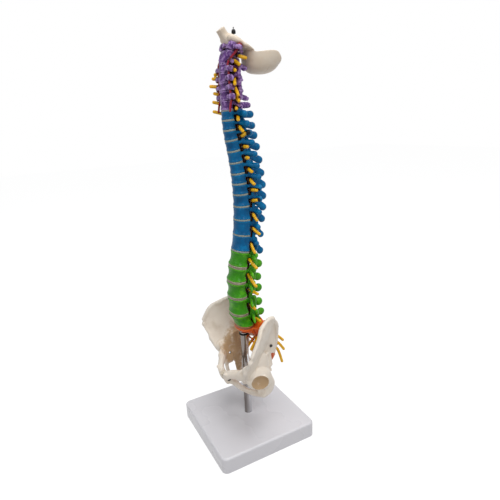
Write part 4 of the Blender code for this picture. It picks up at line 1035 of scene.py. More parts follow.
@dataclass
class Vertebra:
    """A free vertebra from C3 to L5."""

    row: Level
    low: Joint
    high: Joint
    lip: float = 0.7
    facet_back: float = 3.1
    facet_half: float = 1.1

    def __post_init__(self) -> None:
        """Frame of the canal and the gaps at the two discs."""
        self.region = REGIONS[self.row.name[0]]
        self.frame = between(self.low.canal, self.high.canal)
        self.back = self.frame.translation.y - 0.5 * (self.low.centre.y + self.high.centre.y)
        under_neck = self.row.name == "T1"
        self.gap_low = 0.5 * self.low.region.disc + self.region.rim
        self.gap_high = 0.5 * self.high.region.disc + (REGIONS["C"] if under_neck else self.region).rim
        if self.row.name in ("C3", "C4", "C5", "C6"):
            self.gap_low = -0.5 * self.region.disc + 0.1
        self.clay = Clay()

    def body(self) -> None:
        """Waisted body with a rolled lip at each disc."""
        low, high, p = self.low, self.high, self.row.pitch
        middle = between(low.centre, high.centre)
        width, depth = 0.5 * (low.half_width + high.half_width), 0.5 * (low.half_depth + high.half_depth)
        lumbar = self.row.name[0] == "L"
        waist = 0.93 if not lumbar else 0.88
        rows = [
            section(low.frame, low.half_width * 0.985, low.half_depth * 0.985, (0.0, 0.0, self.gap_low)),
            section(low.frame, low.half_width * 1.01, low.half_depth * 1.01, (0.0, 0.0, self.gap_low + self.lip)),
            section(low.frame, low.half_width * 0.97, low.half_depth * 0.97, (0.0, 0.0, self.gap_low + 2.4 * self.lip)),
            section(middle, width * waist, depth * waist, (0.0, 0.0, -0.12 * p)),
            section(middle, width * waist, depth * waist, (0.0, 0.0, 0.12 * p)),
            section(
                high.frame, high.half_width * 0.97, high.half_depth * 0.97, (0.0, 0.0, -self.gap_high - 2.4 * self.lip),
            ),
            section(high.frame, high.half_width * 1.01, high.half_depth * 1.01, (0.0, 0.0, -self.gap_high - self.lip)),
            section(high.frame, high.half_width * 0.985, high.half_depth * 0.985, (0.0, 0.0, -self.gap_high)),
        ]
        self.clay.sweep(rows, 44, 26, Outline.KIDNEY)

    def arch(self) -> None:
        """Pedicles and laminae."""
        r, p = self.region, self.row.pitch
        top = 0.45 * p - self.gap_high - 0.2
        middle, tall = 0.5 * (top + 0.04 * p), 0.5 * (top - 0.04 * p)
        x = r.canal_x + 0.55 * r.wall
        half = 0.56 * r.wall
        self.clay.pair(
            ((x, -r.canal_y - 2.0, middle), (x, -0.4 * r.canal_y, middle), (x, 0.5, middle - 0.03 * p)),
            ((half * 1.25, tall), (half, tall * 0.95), (half * 1.15, tall * 1.05)),
            frame=self.frame,
        )
        slope = -0.12 * p
        plate = 0.22 * p if self.row.name[0] != "T" else 0.25 * p
        self.clay.pair(
            (
                (x, 0.3, middle - 0.04 * p),
                (0.72 * x, r.canal_y + 0.1 * r.wall, slope * 0.6),
                (0.0, r.canal_y + 0.62 * r.wall, slope),
            ),
            ((half * 1.05, plate), (half, plate * 1.05), (half, plate * 1.1)),
            side=(1.0, 0.4, 0.0),
            frame=self.frame,
        )

    def facets(self) -> None:
        """Articular processes at both discs."""
        joint, p = self.high, self.row.pitch
        if self.row.name[0] != "C":
            x, y = joint.region.canal_x + 1.9, canal_back(joint.half_depth, joint.region) + 0.6
            bulk = 2.9 if self.row.name[0] == "L" else 2.2
            rows = ((x, y + 0.6, -0.46 * p), (x, y, -0.2 * p), (x - 0.3, y, 0.13 * p))
            self.clay.pair(rows, ((1.5, bulk), (1.5, bulk), (1.3, bulk * 0.8)), frame=joint.frame)
            rear = self.frame @ Vector((0.0, self.region.canal_y + 0.6, 0.0))
            for sign in (1.0, -1.0):
                low = Vector((sign * (self.region.canal_x + 0.8), rear.y, rear.z - 0.34 * p))
                high = Vector((sign * (self.region.canal_x + 1.2), rear.y - 0.4, rear.z + 0.3 * p))
                self.clay.limb((low, low.lerp(high, 0.5), high), ((2.4, bulk),) * 3)
        for joint, upper in ((self.high, False), (self.low, True)):
            region, p = joint.region, self.row.pitch
            x = region.canal_x * 0.96 + 0.2
            y = canal_back(joint.half_depth, region) + self.facet_back
            half = self.facet_half
            wide = region.facet_wide * 1.08
            if upper:
                points = ((x, y + half + 0.1, 0.02 * p), (x, y + half + 0.3, 0.22 * p), (x, y + half + 0.4, 0.42 * p))
            else:
                points = (
                    (x + 0.3, y - 1.0 - half, -0.44 * p),
                    (x + 0.2, y - 0.5 - half, -0.16 * p),
                    (x, y - 0.35 - half, 0.15 * p),
                )
            sizes = ((wide * 0.9, half), (wide, half * 1.05), (wide * 0.85, half * 0.9))
            self.clay.pair(points, sizes, frame=joint.frame, outline=Outline.SOFT)

    def wings(self) -> None:
        """Transverse processes of the region's form."""
        r, row, p = self.region, self.row, self.row.pitch
        kind = row.name[0]
        tip = Vector((row.wing_out, row.wing_back - self.back, 0.12 * p * (kind != "C") - row.wing_drop))
        side = (0.0, 1.0, 0.0)
        if kind == "T":
            foot = Vector((r.canal_x + 0.4 * r.wall, 1.0, 0.14 * p))
            bulb = 3.4 if row.name not in ("T11", "T12") else 2.9
            tip -= (tip - foot).normalized() * (bulb - 1.6)
            self.clay.pair(
                (foot, foot.lerp(tip, 0.45), foot.lerp(tip, 0.8), tip),
                ((2.6, 3.0), (2.5, 2.9), (2.8, 3.2), (bulb * 0.9, bulb)),
                side=side, frame=self.frame,
            )
        elif kind == "L":
            foot = Vector((r.canal_x + 0.6 * r.wall, 0.4, 0.17 * p))
            self.clay.pair(
                (
                    foot, foot.lerp(tip, 0.4) + Vector((0.0, -0.4, 0.6)),
                    foot.lerp(tip, 0.8) + Vector((0.0, -0.2, 0.6)), tip,
                ),
                ((2.6, 3.0), (1.8, 2.6), (1.6, 2.7), (1.3, 2.1)),
                side=side, frame=self.frame,
            )
            self.clay.balls((r.canal_x + 3.0, 4.6, 0.28 * p), (2.2, 2.6, 3.2), self.frame)
        elif row.name == "C7":
            foot = Vector((r.canal_x + 0.5, -0.9, 0.1 * p))
            self.clay.pair(
                (foot, foot.lerp(tip, 0.5), tip), ((2.8, 1.9), (2.4, 1.7), (2.2, 1.6)), side=side, frame=self.frame
            )
        else:
            self.gutter(tip)

    def gutter(self, tip: Vector) -> None:
        """Cervical transverse process: two roots round the artery that meet in a gutter."""
        r, p = self.region, self.row.pitch
        front = tip + Vector((-1.4, -2.4, 0.1))
        rear = tip + Vector((-0.6, 1.9, -0.2))
        self.clay.pair(
            ((r.canal_x + 1.0, -r.canal_y - 2.6, -0.02 * p), front + Vector((-3.4, -0.2, 0.3)), front),
            ((1.7, 1.9), (1.4, 2.0), (1.4, 2.2)),
            side=(0.0, 1.0, 0.0), frame=self.frame,
        )
        self.clay.pair(
            ((r.canal_x + 1.4, -0.6, 0.02 * p), rear + Vector((-3.6, 0.2, 0.2)), rear),
            ((1.7, 2.0), (1.5, 2.1), (1.5, 2.3)),
            side=(0.0, 1.0, 0.0), frame=self.frame,
        )
        self.clay.pair(
            (front, front.lerp(rear, 0.5), rear), ((1.3, 2.9), (1.2, 3.1), (1.3, 2.9)), side=(1.0, 0.0, 0.0),
            frame=self.frame,
        )
        x = r.canal_x + 2.6
        self.clay.pair(
            ((x, r.canal_y, -0.38 * p), (x, r.canal_y - 0.3, 0.34 * p)), ((2.6, 2.2), (2.6, 2.2)), frame=self.frame,
        )

    def spine(self) -> None:
        """Spinous process of the region's form."""
        r, row, p = self.region, self.row, self.row.pitch
        foot = Vector((0.0, r.canal_y + 0.4 * r.wall, -0.08 * p))
        tip = Vector((0.0, row.spine_back - self.back, -row.spine_drop))
        kind = row.name[0]
        if row.name in NECK_SPINES:
            tip = self.frame.inverted() @ Vector((0.0, *NECK_SPINES[row.name]))
        across, deep = r.spine_across, row.spine_deep
        if kind == "L" or row.name in ("T12", "T11"):
            lobe = 5.3 if kind == "L" else 4.1
            centre = tip - (tip - foot).normalized() * (lobe - 0.5)
            neck = foot.lerp(centre, 0.5)
            self.clay.limb(
                (foot, neck, centre), ((across * 1.1, 4.6), (across * 1.0, 3.8), (across * 1.1, deep * 1.0)),
                frame=self.frame, outline=Outline.SOFT,
            )
            turn = aim(tip - foot, Vector((1.0, 0.0, 0.0)))
            self.clay.ball(self.frame @ centre, (across * 1.45, deep * 1.16, lobe), self.frame.to_3x3() @ turn)
        elif kind == "T":
            grow = 3.8 if row.name in ("T1", "T2") else 4.2
            centre = tip - (tip - foot).normalized() * 3.2
            self.clay.limb(
                (foot, foot.lerp(centre, 0.5), centre),
                ((across * 1.5, grow), (across * 1.05, grow * 0.9), (across * 1.3, max(deep, grow) * 1.0)),
                frame=self.frame, outline=Outline.SOFT,
            )
            self.clay.ball(self.frame @ centre, (across * 1.6, grow, grow))
        else:
            self.clay.limb(
                (foot, foot.lerp(tip, 0.5), foot.lerp(tip, 0.8)),
                ((across * 1.3, deep * 1.5), (across * 1.2, deep * 1.5), (across * 1.5, deep * 1.5)),
                frame=self.frame,
            )
            if row.name == "C7":
                self.clay.ball(self.frame @ foot.lerp(tip, 0.85), (2.2, 2.6, 2.7))
            else:
                self.clay.pair(
                    ((0.4, foot.lerp(tip, 0.7).y, foot.lerp(tip, 0.7).z), (1.9, tip.y - 1.0, tip.z)),
                    ((1.4, 1.9), (1.5, 2.0)),
                    frame=self.frame,
                )

    def build(self, layout: Layout, index: int) -> bpy.types.Object:
        """The finished vertebra."""
        for make in (self.body, self.arch, self.facets, self.wings, self.spine):
            make()
        neck = self.row.name[0] == "C"
        moulding = Moulding(0.42, 2, 0.34, 2.1, 3.0) if neck else Moulding(0.55, 3, 0.1, 5.0, 1.5)
        obj = moulding.cast("bone_" + self.row.name, self.clay, layout.strands(index, index + 1, vessels=neck))
        return dress(obj, self.region.finish, self.region.slot, self.row.name)


@dataclass
class Axis:
    """C2 with its dens."""

    layout: Layout

    def build(self) -> bpy.types.Object:
        """The finished bone."""
        lay = self.layout
        low = lay.column[-1]
        region = low.region
        foot = Vector((0.0, *lay.dens_foot))
        lean = -atan2(foot.y - low.centre.y, foot.z - low.centre.z) * 180.0 / pi
        frame = level(low.centre.y, low.centre.z, lean)
        arch = between(low.canal, lay.atlas_canal)
        shoulder = (foot - low.centre).length - 0.5 * ATLAS_MASS - AIR
        clay = Clay()
        clay.sweep(
            [
                section(low.frame, low.half_width * 0.98, low.half_depth * 0.98, (0.0, 0.0, -0.45)),
                section(low.frame, low.half_width, low.half_depth, (0.0, 0.0, 0.6)),
                section(frame, 7.4, 5.6, (0.0, -0.2, 4.4)),
                section(frame, 7.2, 5.4, (0.0, -0.2, 7.4)),
                section(frame, 5.4, 4.4, (0.0, 0.0, 10.4)),
            ],
            36, 20, Outline.KIDNEY,
        )
        dens = ((2.9, 8.5), (2.6, 13.0), (2.8, 16.4), (1.8, 18.4))
        clay.sweep([section(frame, r, r, (0.0, 0.0, z)) for r, z in dens])
        clay.ball(frame @ Vector((0.0, 0.0, 16.6)), (2.7, 2.7, 2.2), frame.to_3x3())
        clay.limb(((0.0, -5.6, 0.6), (0.0, -5.6, 6.6)), ((1.2, 0.9), (0.8, 0.8)), frame=frame)
        for sign in (1.0, -1.0):
            clay.sweep(
                [
                    section(frame, 2.8, 3.4, (sign * 4.4, 0.0, 2.6)),
                    section(frame, 3.2, 3.8, (sign * 6.4, 0.3, shoulder - 1.4)),
                    section(frame, 3.0, 3.7, (sign * 7.2, 0.4, shoulder - 0.1)),
                ],
                20, 10,
            )
        clay.pair(
            ((4.4, 0.6, 3.0), (9.0, 1.4, 2.4), (12.4, 1.6, 1.4)), ((2.8, 2.4), (2.4, 2.2), (2.4, 2.4)),
            side=(0.0, 1.0, 0.0), frame=frame,
        )
        x = region.canal_x + 0.6 * region.wall
        clay.pair(
            ((x, -3.6, -1.8), (x + 0.2, 0.2, -2.2), (4.2, 4.2, -2.8), (0.0, 5.0, -3.4)),
            ((1.2, 1.6), (1.2, 1.8), (1.2, 2.2), (1.3, 2.6)), frame=arch, side=(1.0, 0.4, 0.0),
        )
        tip = arch.inverted() @ Vector((0.0, 21.0, 414.4))
        root = Vector((0.0, 4.6, -3.6))
        clay.limb((root, root.lerp(tip, 0.5), root.lerp(tip, 0.85)), ((1.9, 2.7), (1.7, 2.6), (2.3, 2.6)), frame=arch)
        for sign in (1.0, -1.0):
            clay.limb(
                (root.lerp(tip, 0.6), tip + Vector((sign * 2.2, -0.6, 0.2))), ((1.4, 2.0), (1.4, 2.1)), frame=arch
            )
        vertebra = Vertebra(LEVELS[-2], low, low)
        p = LEVELS[-2].pitch
        x, y = region.canal_x * 0.96 + 0.2, canal_back(low.half_depth, region) + vertebra.facet_back
        half, wide = vertebra.facet_half, region.facet_wide * 1.08
        clay.pair(
            ((x, y + half + 0.1, 0.02 * p), (x, y + half + 0.3, 0.22 * p), (x, y + half + 0.2, 0.5 * p)),
            ((wide * 0.9, half), (wide, half * 1.1), (wide * 0.9, half)), frame=low.frame, outline=Outline.SOFT,
        )
        last = len(lay.column)
        moulding = Moulding(0.42, 2, 0.34, 2.1)
        obj = moulding.cast("bone_C2", clay, lay.strands(last - 1, last, vessels=True))
        return dress(obj, PURPLE, "cervical_purple", "C2")


@dataclass
class Atlas:
    """C1: a ring with two lateral masses."""

    layout: Layout
    mass_height: float = ATLAS_MASS

    def build(self) -> bpy.types.Object:
        """The finished bone."""
        lay = self.layout
        frame = lay.atlas_frame
        clay = Clay()
        rim = []
        for k in range(9):
            turn = radians(-90.0 + 180.0 * k / 8)
            rim.append((8.9 * cos(turn), 5.0 + (9.6 if turn > 0 else 8.7) * sin(turn), 0.25 * sin(turn)))
        sizes = [(2.5 if k < 3 else 1.9, 1.4) for k in range(9)]
        clay.pair(rim, sizes, side=(0.0, 0.0, 1.0), frame=frame)
        clay.ball(frame @ Vector((0.0, -5.0, 0.1)), (2.1, 1.5, 2.3), frame.to_3x3())
        clay.ball(frame @ Vector((0.0, 15.0, -0.3)), (1.8, 1.8, 1.7), frame.to_3x3())
        h = 0.5 * self.mass_height
        for sign in (1.0, -1.0):
            clay.sweep(
                [
                    section(frame, 3.2, 5.2, (sign * 8.0, 0.4, -h + 0.15)),
                    section(frame, 3.8, 5.6, (sign * 8.8, 0.4, 0.0)),
                    section(frame, 3.4, 5.0, (sign * 8.9, 0.8, h - 0.15)),
                ],
                24, 10, Outline.SOFT,
            )
        clay.pair(
            ((9.0, 0.4, -0.2), (14.6, 0.8, -0.8), (18.0, 3.6, -0.8)), ((1.9, 2.2), (1.7, 2.0), (2.2, 2.4)),
            side=(0.0, 1.0, 0.0), frame=frame,
        )
        clay.pair(
            ((9.0, 5.6, -0.2), (14.2, 6.6, -0.8), (17.8, 4.6, -0.8)), ((1.8, 2.0), (1.7, 1.9), (2.1, 2.2)),
            side=(0.0, 1.0, 0.0), frame=frame,
        )
        dens = Sheet([frame @ Vector((0.0, 0.0, z)) for z in (-6.0, 6.0)], 3.4)
        moulding = Moulding(0.42, 2, 0.34, 2.1)
        strands = [dens, *lay.strands(len(lay.column), vessels=True)]
        obj = moulding.cast("bone_C1", clay, strands)
        return dress(obj, PURPLE, "cervical_purple", "C1")


@dataclass
class Occiput:
    """Cut piece of the skull's floor: foramen ring, basilar bar, condyles and hollow squama."""

    layout: Layout
    foramen: Pair = (11.0, 439.5)
    foramen_lean: float = -30.0
    bowl: Pair = (40.2, 429.6)
    half: Triple = (22.0, 19.8, 19.4)
    wall: float = 2.2

    def squama(self, clay: Clay) -> None:
        """The scoop behind the foramen, as one skin outside and inside."""
        y, z = self.bowl

        def place(share_round: float, share_along: float) -> Vector:
            turn = 2.0 * pi * share_round
            inner = share_along > 0.5
            depth = 2.0 * share_along if not inner else 2.0 - 2.0 * share_along
            rx, ry, rz = (half - self.wall * inner for half in self.half)
            lift = -0.99 + 0.94 * min(depth / 0.98, 1.0)
            out = max(1.0 - abs(lift) ** 2.5, 0.0) ** 0.4
            x, back = rx * out * cos(turn), ry * out * sin(turn)
            rim = max(0.0, (lift + 0.6) / 0.55)
            back += rim * (0.55 * exp(-(((turn - 0.5 * pi) / 0.35) ** 2))) + 3.6 * min(lift, 0.0) * (back < 0.0)
            back += 2.2 * min(lift, 0.0) * (back >= 0.0)
            rise = 1.2 + 4.4 * exp(-(((y + back - 20.4) / 2.8) ** 2)) - 7.0 * (max(y + back - 40.0, 0.0) / 19.0) ** 2
            wave = 0.5 * sin(3.0 * turn + 0.7) * rim
            return Vector((x, y + back, z + lift * rz + rise * rim + wave))

        clay.wrap(place, 56, 60)

    def build(self) -> bpy.types.Object:
        """The finished bone."""
        lay = self.layout
        frame = level(*self.foramen, self.foramen_lean)
        clay = Clay()
        self.squama(clay)
        ring = [(9.4 * cos(k * pi / 8), 10.1 * sin(k * pi / 8), 0.0) for k in range(17)]
        clay.limb(ring[:9], [(1.9, 2.2)] * 9, side=(0.0, 0.0, 1.0), frame=frame)
        clay.limb(ring[8:], [(1.9, 2.2)] * 9, side=(0.0, 0.0, 1.0), frame=frame)
        bar = ((4.6, 437.4, 7.6, 4.6), (1.4, 441.8, 6.2, 4.0), (-1.6, 446.0, 4.8, 3.6), (-4.4, 450.0, 4.9, 3.7))
        clay.sweep([section(level(y, z, 35.0), wide, deep) for y, z, wide, deep in bar], 28, 16, Outline.BOXY)
        seat = 0.5 * ATLAS_MASS + AIR
        for sign in (1.0, -1.0):
            clay.sweep(
                [
                    section(lay.atlas_frame, 2.4, 3.5, (sign * 8.2, 1.0, seat)),
                    section(lay.atlas_frame, 3.0, 4.2, (sign * 8.5, 1.2, seat + 1.8)),
                    section(lay.atlas_frame, 3.0, 4.6, (sign * 8.7, 1.4, seat + 3.6)),
                ],
                20, 10,
            )
        clay.pair(
            ((7.6, 2.0, 441.6), (8.6, 8.0, 439.0), (8.6, 14.0, 436.6), (9.6, 19.0, 434.0), (10.6, 25.0, 430.6)),
            ((3.4, 3.2), (3.8, 3.2), (3.8, 2.4), (4.8, 1.8), (3.4, 0.9)),
        )
        clay.limb(
            ((-5.0, 20.6, 433.2), (0.0, 20.2, 434.0), (5.0, 20.6, 433.2)), ((1.6, 1.6),) * 3, side=(0.0, 0.0, 1.0),
        )
        moulding = Moulding(0.6, 4, 0.28, 9.0, keep=0.6)
        obj = moulding.cast("skull_floor", clay, [Sheet(lay.artery, 1.5), Sheet(mirrored(lay.artery), 1.5)])
        return dress(obj, SKULL, "bone_ivory", "occiput")


# Discs


@dataclass
class Disc:
    """Soft pad between two bodies."""

    name: str
    joint: Joint

    def build(self) -> bpy.types.Object:
        """The finished pad."""
        half = 0.5 * self.joint.region.disc + self.joint.region.proud
        wide, deep = self.joint.half_width * 0.985, self.joint.half_depth * 0.985
        clay = Clay()
        rows = []
        for share, size in (
            (-1.0, 0.955), (-0.8, 0.985), (-0.35, 0.998), (0.0, 0.994), (0.35, 0.998), (0.8, 0.985), (1.0, 0.955),
        ):
            rows.append(section(self.joint.frame, wide * size, deep * size, (0.0, 0.0, half * share)))
        clay.sweep(rows, 56, 12, Outline.KIDNEY)
        obj = mesh_object("pad_" + self.name, clay.bm)
        inverse = self.joint.frame.inverted()
        values = [abs((inverse @ vert.co).z) / half for vert in obj.data.vertices]
        obj.data.transform(Matrix.Scale(MM, 4))
        mark(obj.data, "band", np.array(values))
        obj.data.shade_smooth()
        finish = LUMBAR_DISC if self.joint.region is REGIONS["L"] else THORACIC_DISC
        if self.name == "disc_L5_S1":
            finish = SACRAL_DISC
        return dress(obj, finish, "disc_grey", self.name)


# Strands


SACRAL_ROOTS = (
    (12.0, (21.5, 129.5), (10.5, 118.0), (4.0, 108.5), (40.0, 117.5), (49.5, 108.0)),
    (11.0, (28.5, 116.5), (16.0, 105.0), (8.5, 96.5), (41.5, 107.5), (51.0, 94.5)),
    (9.5, (33.5, 105.0), (23.5, 99.5), (17.0, 91.5), (42.0, 97.5), (48.5, 77.0)),
)
SACRAL_CANAL = ((14.0, 146.5), (18.4, 136.5), (21.5, 129.5), (28.5, 116.5), (33.5, 105.0), (36.5, 94.0))


@dataclass
class Nerves:
    """Spinal cord with every root that leaves it."""

    layout: Layout
    cord_radius: float = 2.5
    sacral_radius: float = 1.75

    def sacral_lines(self) -> list[list[Vector]]:
        """Left front and rear branches, from the canal to the tip."""
        found = []
        for out, canal, front, front_tip, rear, rear_tip in SACRAL_ROOTS:
            for knee, tip in ((front, front_tip), (rear, rear_tip)):
                course = ((0.0, canal), (out * 0.8, canal), (out, knee), (out, tip))
                found.append([Vector((x, y, z)) for x, (y, z) in course])
        return found

    def build(self) -> bpy.types.Object:
        """The finished strands."""
        lay = self.layout
        clay = Clay()
        tail = Vector((0.0, *SACRAL_CANAL[-1])).lerp(Vector((0.0, *SACRAL_CANAL[-2])), 0.3)
        course = [tail] + [Vector((0.0, *point)) for point in reversed(SACRAL_CANAL[1:-1])]
        course += [joint.canal for joint in lay.column]
        course += [lay.atlas_canal, Vector((0.0, 11.9, 436.5)), Vector((0.0, 12.3, 440.5))]
        sizes = [0.5, 0.7, 0.8, 0.9] + [1.0] * (len(course) - 5) + [0.8]
        radii = [(self.cord_radius * size, self.cord_radius * size) for size in sizes]
        clay.limb(course, radii, sides=14)
        r = lay.root_radius
        for root in (*lay.roots, *lay.far_roots):
            tip, knee, inside = root
            end = tip - (tip - knee).normalized() * r * 0.85
            clay.limb((Vector((0.0, inside.y, inside.z)), inside, knee, end), ((r, r),) * 4)
        s = self.sacral_radius
        for line in self.sacral_lines():
            line[-1] = line[-1] - (line[-1] - line[-2]).normalized() * s * 0.85
            clay.pair(line, ((s, s),) * 4)
        moulding = Moulding(0.5, 2, 0.05, 3.0, keep=0.45)
        obj = moulding.cast("nerve_strands", clay)
        # Painted shade: the strands darken towards the recess colour inside the canal and the foramina.
        out = np.abs(vectors(obj.data)[:, 0]) / MM
        mark(obj.data, "wash", np.clip((9.6 - out) / 3.4, 0.0, 1.0))
        return dress(obj, NERVE, "nerve_yellow", "spinal_cord")


@dataclass
class Arteries:
    """The two vertebral arteries."""

    layout: Layout

    def build(self) -> None:
        """Both finished strands."""
        r = self.layout.artery_radius
        for side, line in (("left", self.layout.artery), ("right", mirrored(self.layout.artery))):
            clay = Clay()
            clay.limb(line, ((r, r),) * len(line), sides=16)
            obj = Moulding(0.32, 2, 0.03, 3.0, keep=0.4).cast("artery_" + side, clay)
            dress(obj, ARTERY, "artery_crimson", "vertebral_artery_" + side)


# Pelvis


@dataclass
class Sacrum:
    """Fused sacrum and coccyx."""

    layout: Layout
    nerves: Nerves
    rod_y: float = ROD_Y
    rod_top: float = ROD_TOP

    def build(self) -> bpy.types.Object:
        """The finished bone."""
        rows = (
            (15.0, 139.4, 25.0, 20.5, 9.6), (21.8, 127.0, 31.0, 20.8, 9.2), (28.2, 113.4, 30.0, 18.0, 8.8),
            (33.0, 100.0, 24.0, 14.0, 7.5), (36.0, 90.0, 8.0, 10.0, 5.0), (35.0, 82.0, -16.0, 5.5, 3.4),
            (31.0, 75.5, -34.0, 2.6, 2.0),
        )
        joint = self.layout.column[0]
        gap = 0.5 * joint.region.disc + joint.region.rim
        clay = Clay()
        sections = [section(level(y, z, lean), wide, deep) for y, z, lean, wide, deep in rows]
        clay.sweep(sections, 36, 48)
        clay.sweep(
            [
                section(joint.frame, joint.half_width - 6.0, 3.6, (0.0, 11.0, -13.0)),
                section(joint.frame, joint.half_width - 2.6, 6.0, (0.0, 5.6, -9.0)),
                section(joint.frame, joint.half_width - 0.6, joint.half_depth - 0.8, (0.0, 0.6, -gap - 3.4)),
                section(joint.frame, joint.half_width, joint.half_depth, (0.0, 0.0, -gap - 0.9)),
                section(joint.frame, joint.half_width - 0.3, joint.half_depth - 0.3, (0.0, 0.0, -gap)),
            ],
            40, 14, Outline.KIDNEY,
        )
        for y, z, wide in ((9.6, 119.4, 9.0), (17.0, 107.6, 8.0), (24.6, 96.8, 6.5), (30.4, 88.4, 5.0)):
            clay.limb(((-wide, y + 0.4, z), (0.0, y, z), (wide, y + 0.4, z)), ((1.2, 0.9),) * 3, side=(0.0, 0.3, 1.0))
        for y, z, size in ((34.4, 131.0, 3.4), (39.6, 121.5, 3.3), (43.0, 112.0, 2.8), (44.6, 103.0, 2.2)):
            clay.ball((0.0, y, z), (1.7, 2.6, size))
        clay.limb(((0.0, 30.0, 134.0), (0.0, 40.5, 116.0), (0.0, 43.0, 100.0)), ((1.2, 2.2), (1.2, 2.0), (1.1, 1.8)))
        for y, z in ((33.0, 128.0), (38.0, 115.5), (41.0, 104.0)):
            clay.balls((9.0, y, z), (1.7, 1.9, 2.6))
        clay.pair(((3.6, 42.0, 94.0), (3.8, 40.8, 89.0)), ((1.1, 1.1), (0.9, 0.9)))
        for y, z, wide, tall in (
            (37.0, 87.5, 5.6, 2.6), (35.6, 82.4, 4.4, 2.6), (33.0, 77.9, 3.1, 2.2), (30.6, 75.2, 2.0, 1.7),
        ):
            clay.ball((0.0, y, z), (wide, 2.6, tall))
        clay.limb(((0.0, 6.0, 135.0), (0.0, 4.0, 132.0), (0.0, 3.2, 130.2)), ((3.0, 2.6), (2.4, 2.2), (2.0, 1.8)))
        vertebra = Vertebra(LEVELS[0], joint, joint)
        p = LEVELS[0].pitch
        region = joint.region
        x, y = region.canal_x * 0.96 + 0.2, canal_back(joint.half_depth, region) + vertebra.facet_back
        half, wide = vertebra.facet_half, region.facet_wide
        clay.pair(
            ((x + 0.4, y - 1.2 - half, -0.5 * p), (x + 0.2, y - 0.5 - half, -0.16 * p), (x, y - 0.35 - half, 0.15 * p)),
            ((wide, half), (wide, half), (wide * 0.85, half * 0.9)), frame=joint.frame, outline=Outline.SOFT,
        )
        lines = self.nerves.sacral_lines()
        dents = []
        for line in lines:
            start = line[1].lerp(line[2], 0.55)
            for sign in (1.0, -1.0):
                dents.append(((sign * start.x, start.y, start.z), 5.0, 1.3))
        strands = [Sheet(line, self.nerves.sacral_radius + 0.25) for line in lines]
        strands += [Sheet(mirrored(line), self.nerves.sacral_radius + 0.25) for line in lines]
        rod = Sheet([Vector((0.0, self.rod_y, z)) for z in (60.0, self.rod_top - 0.2)], 6.6)
        moulding = Moulding(0.6, 3, 0.2, 4.5)
        obj = moulding.cast("bone_sacrum", clay, [*strands, *self.layout.strands(0)], dents=dents)
        self.free_rod(obj, rod)
        return dress(obj, ORANGE, "sacrum_orange", "sacrum_and_coccyx")

    def free_rod(self, obj: bpy.types.Object, rod: Sheet) -> None:
        """Move the points that stand in the rod's way out to its side."""
        co = vectors(obj.data) / MM
        gap = np.hypot(co[:, 0], co[:, 1] - self.rod_y)
        low = (co[:, 2] < self.rod_top) & (gap < rod.radius)
        co[low, 2] = self.rod_top + 0.3
        move_points(obj.data, co)


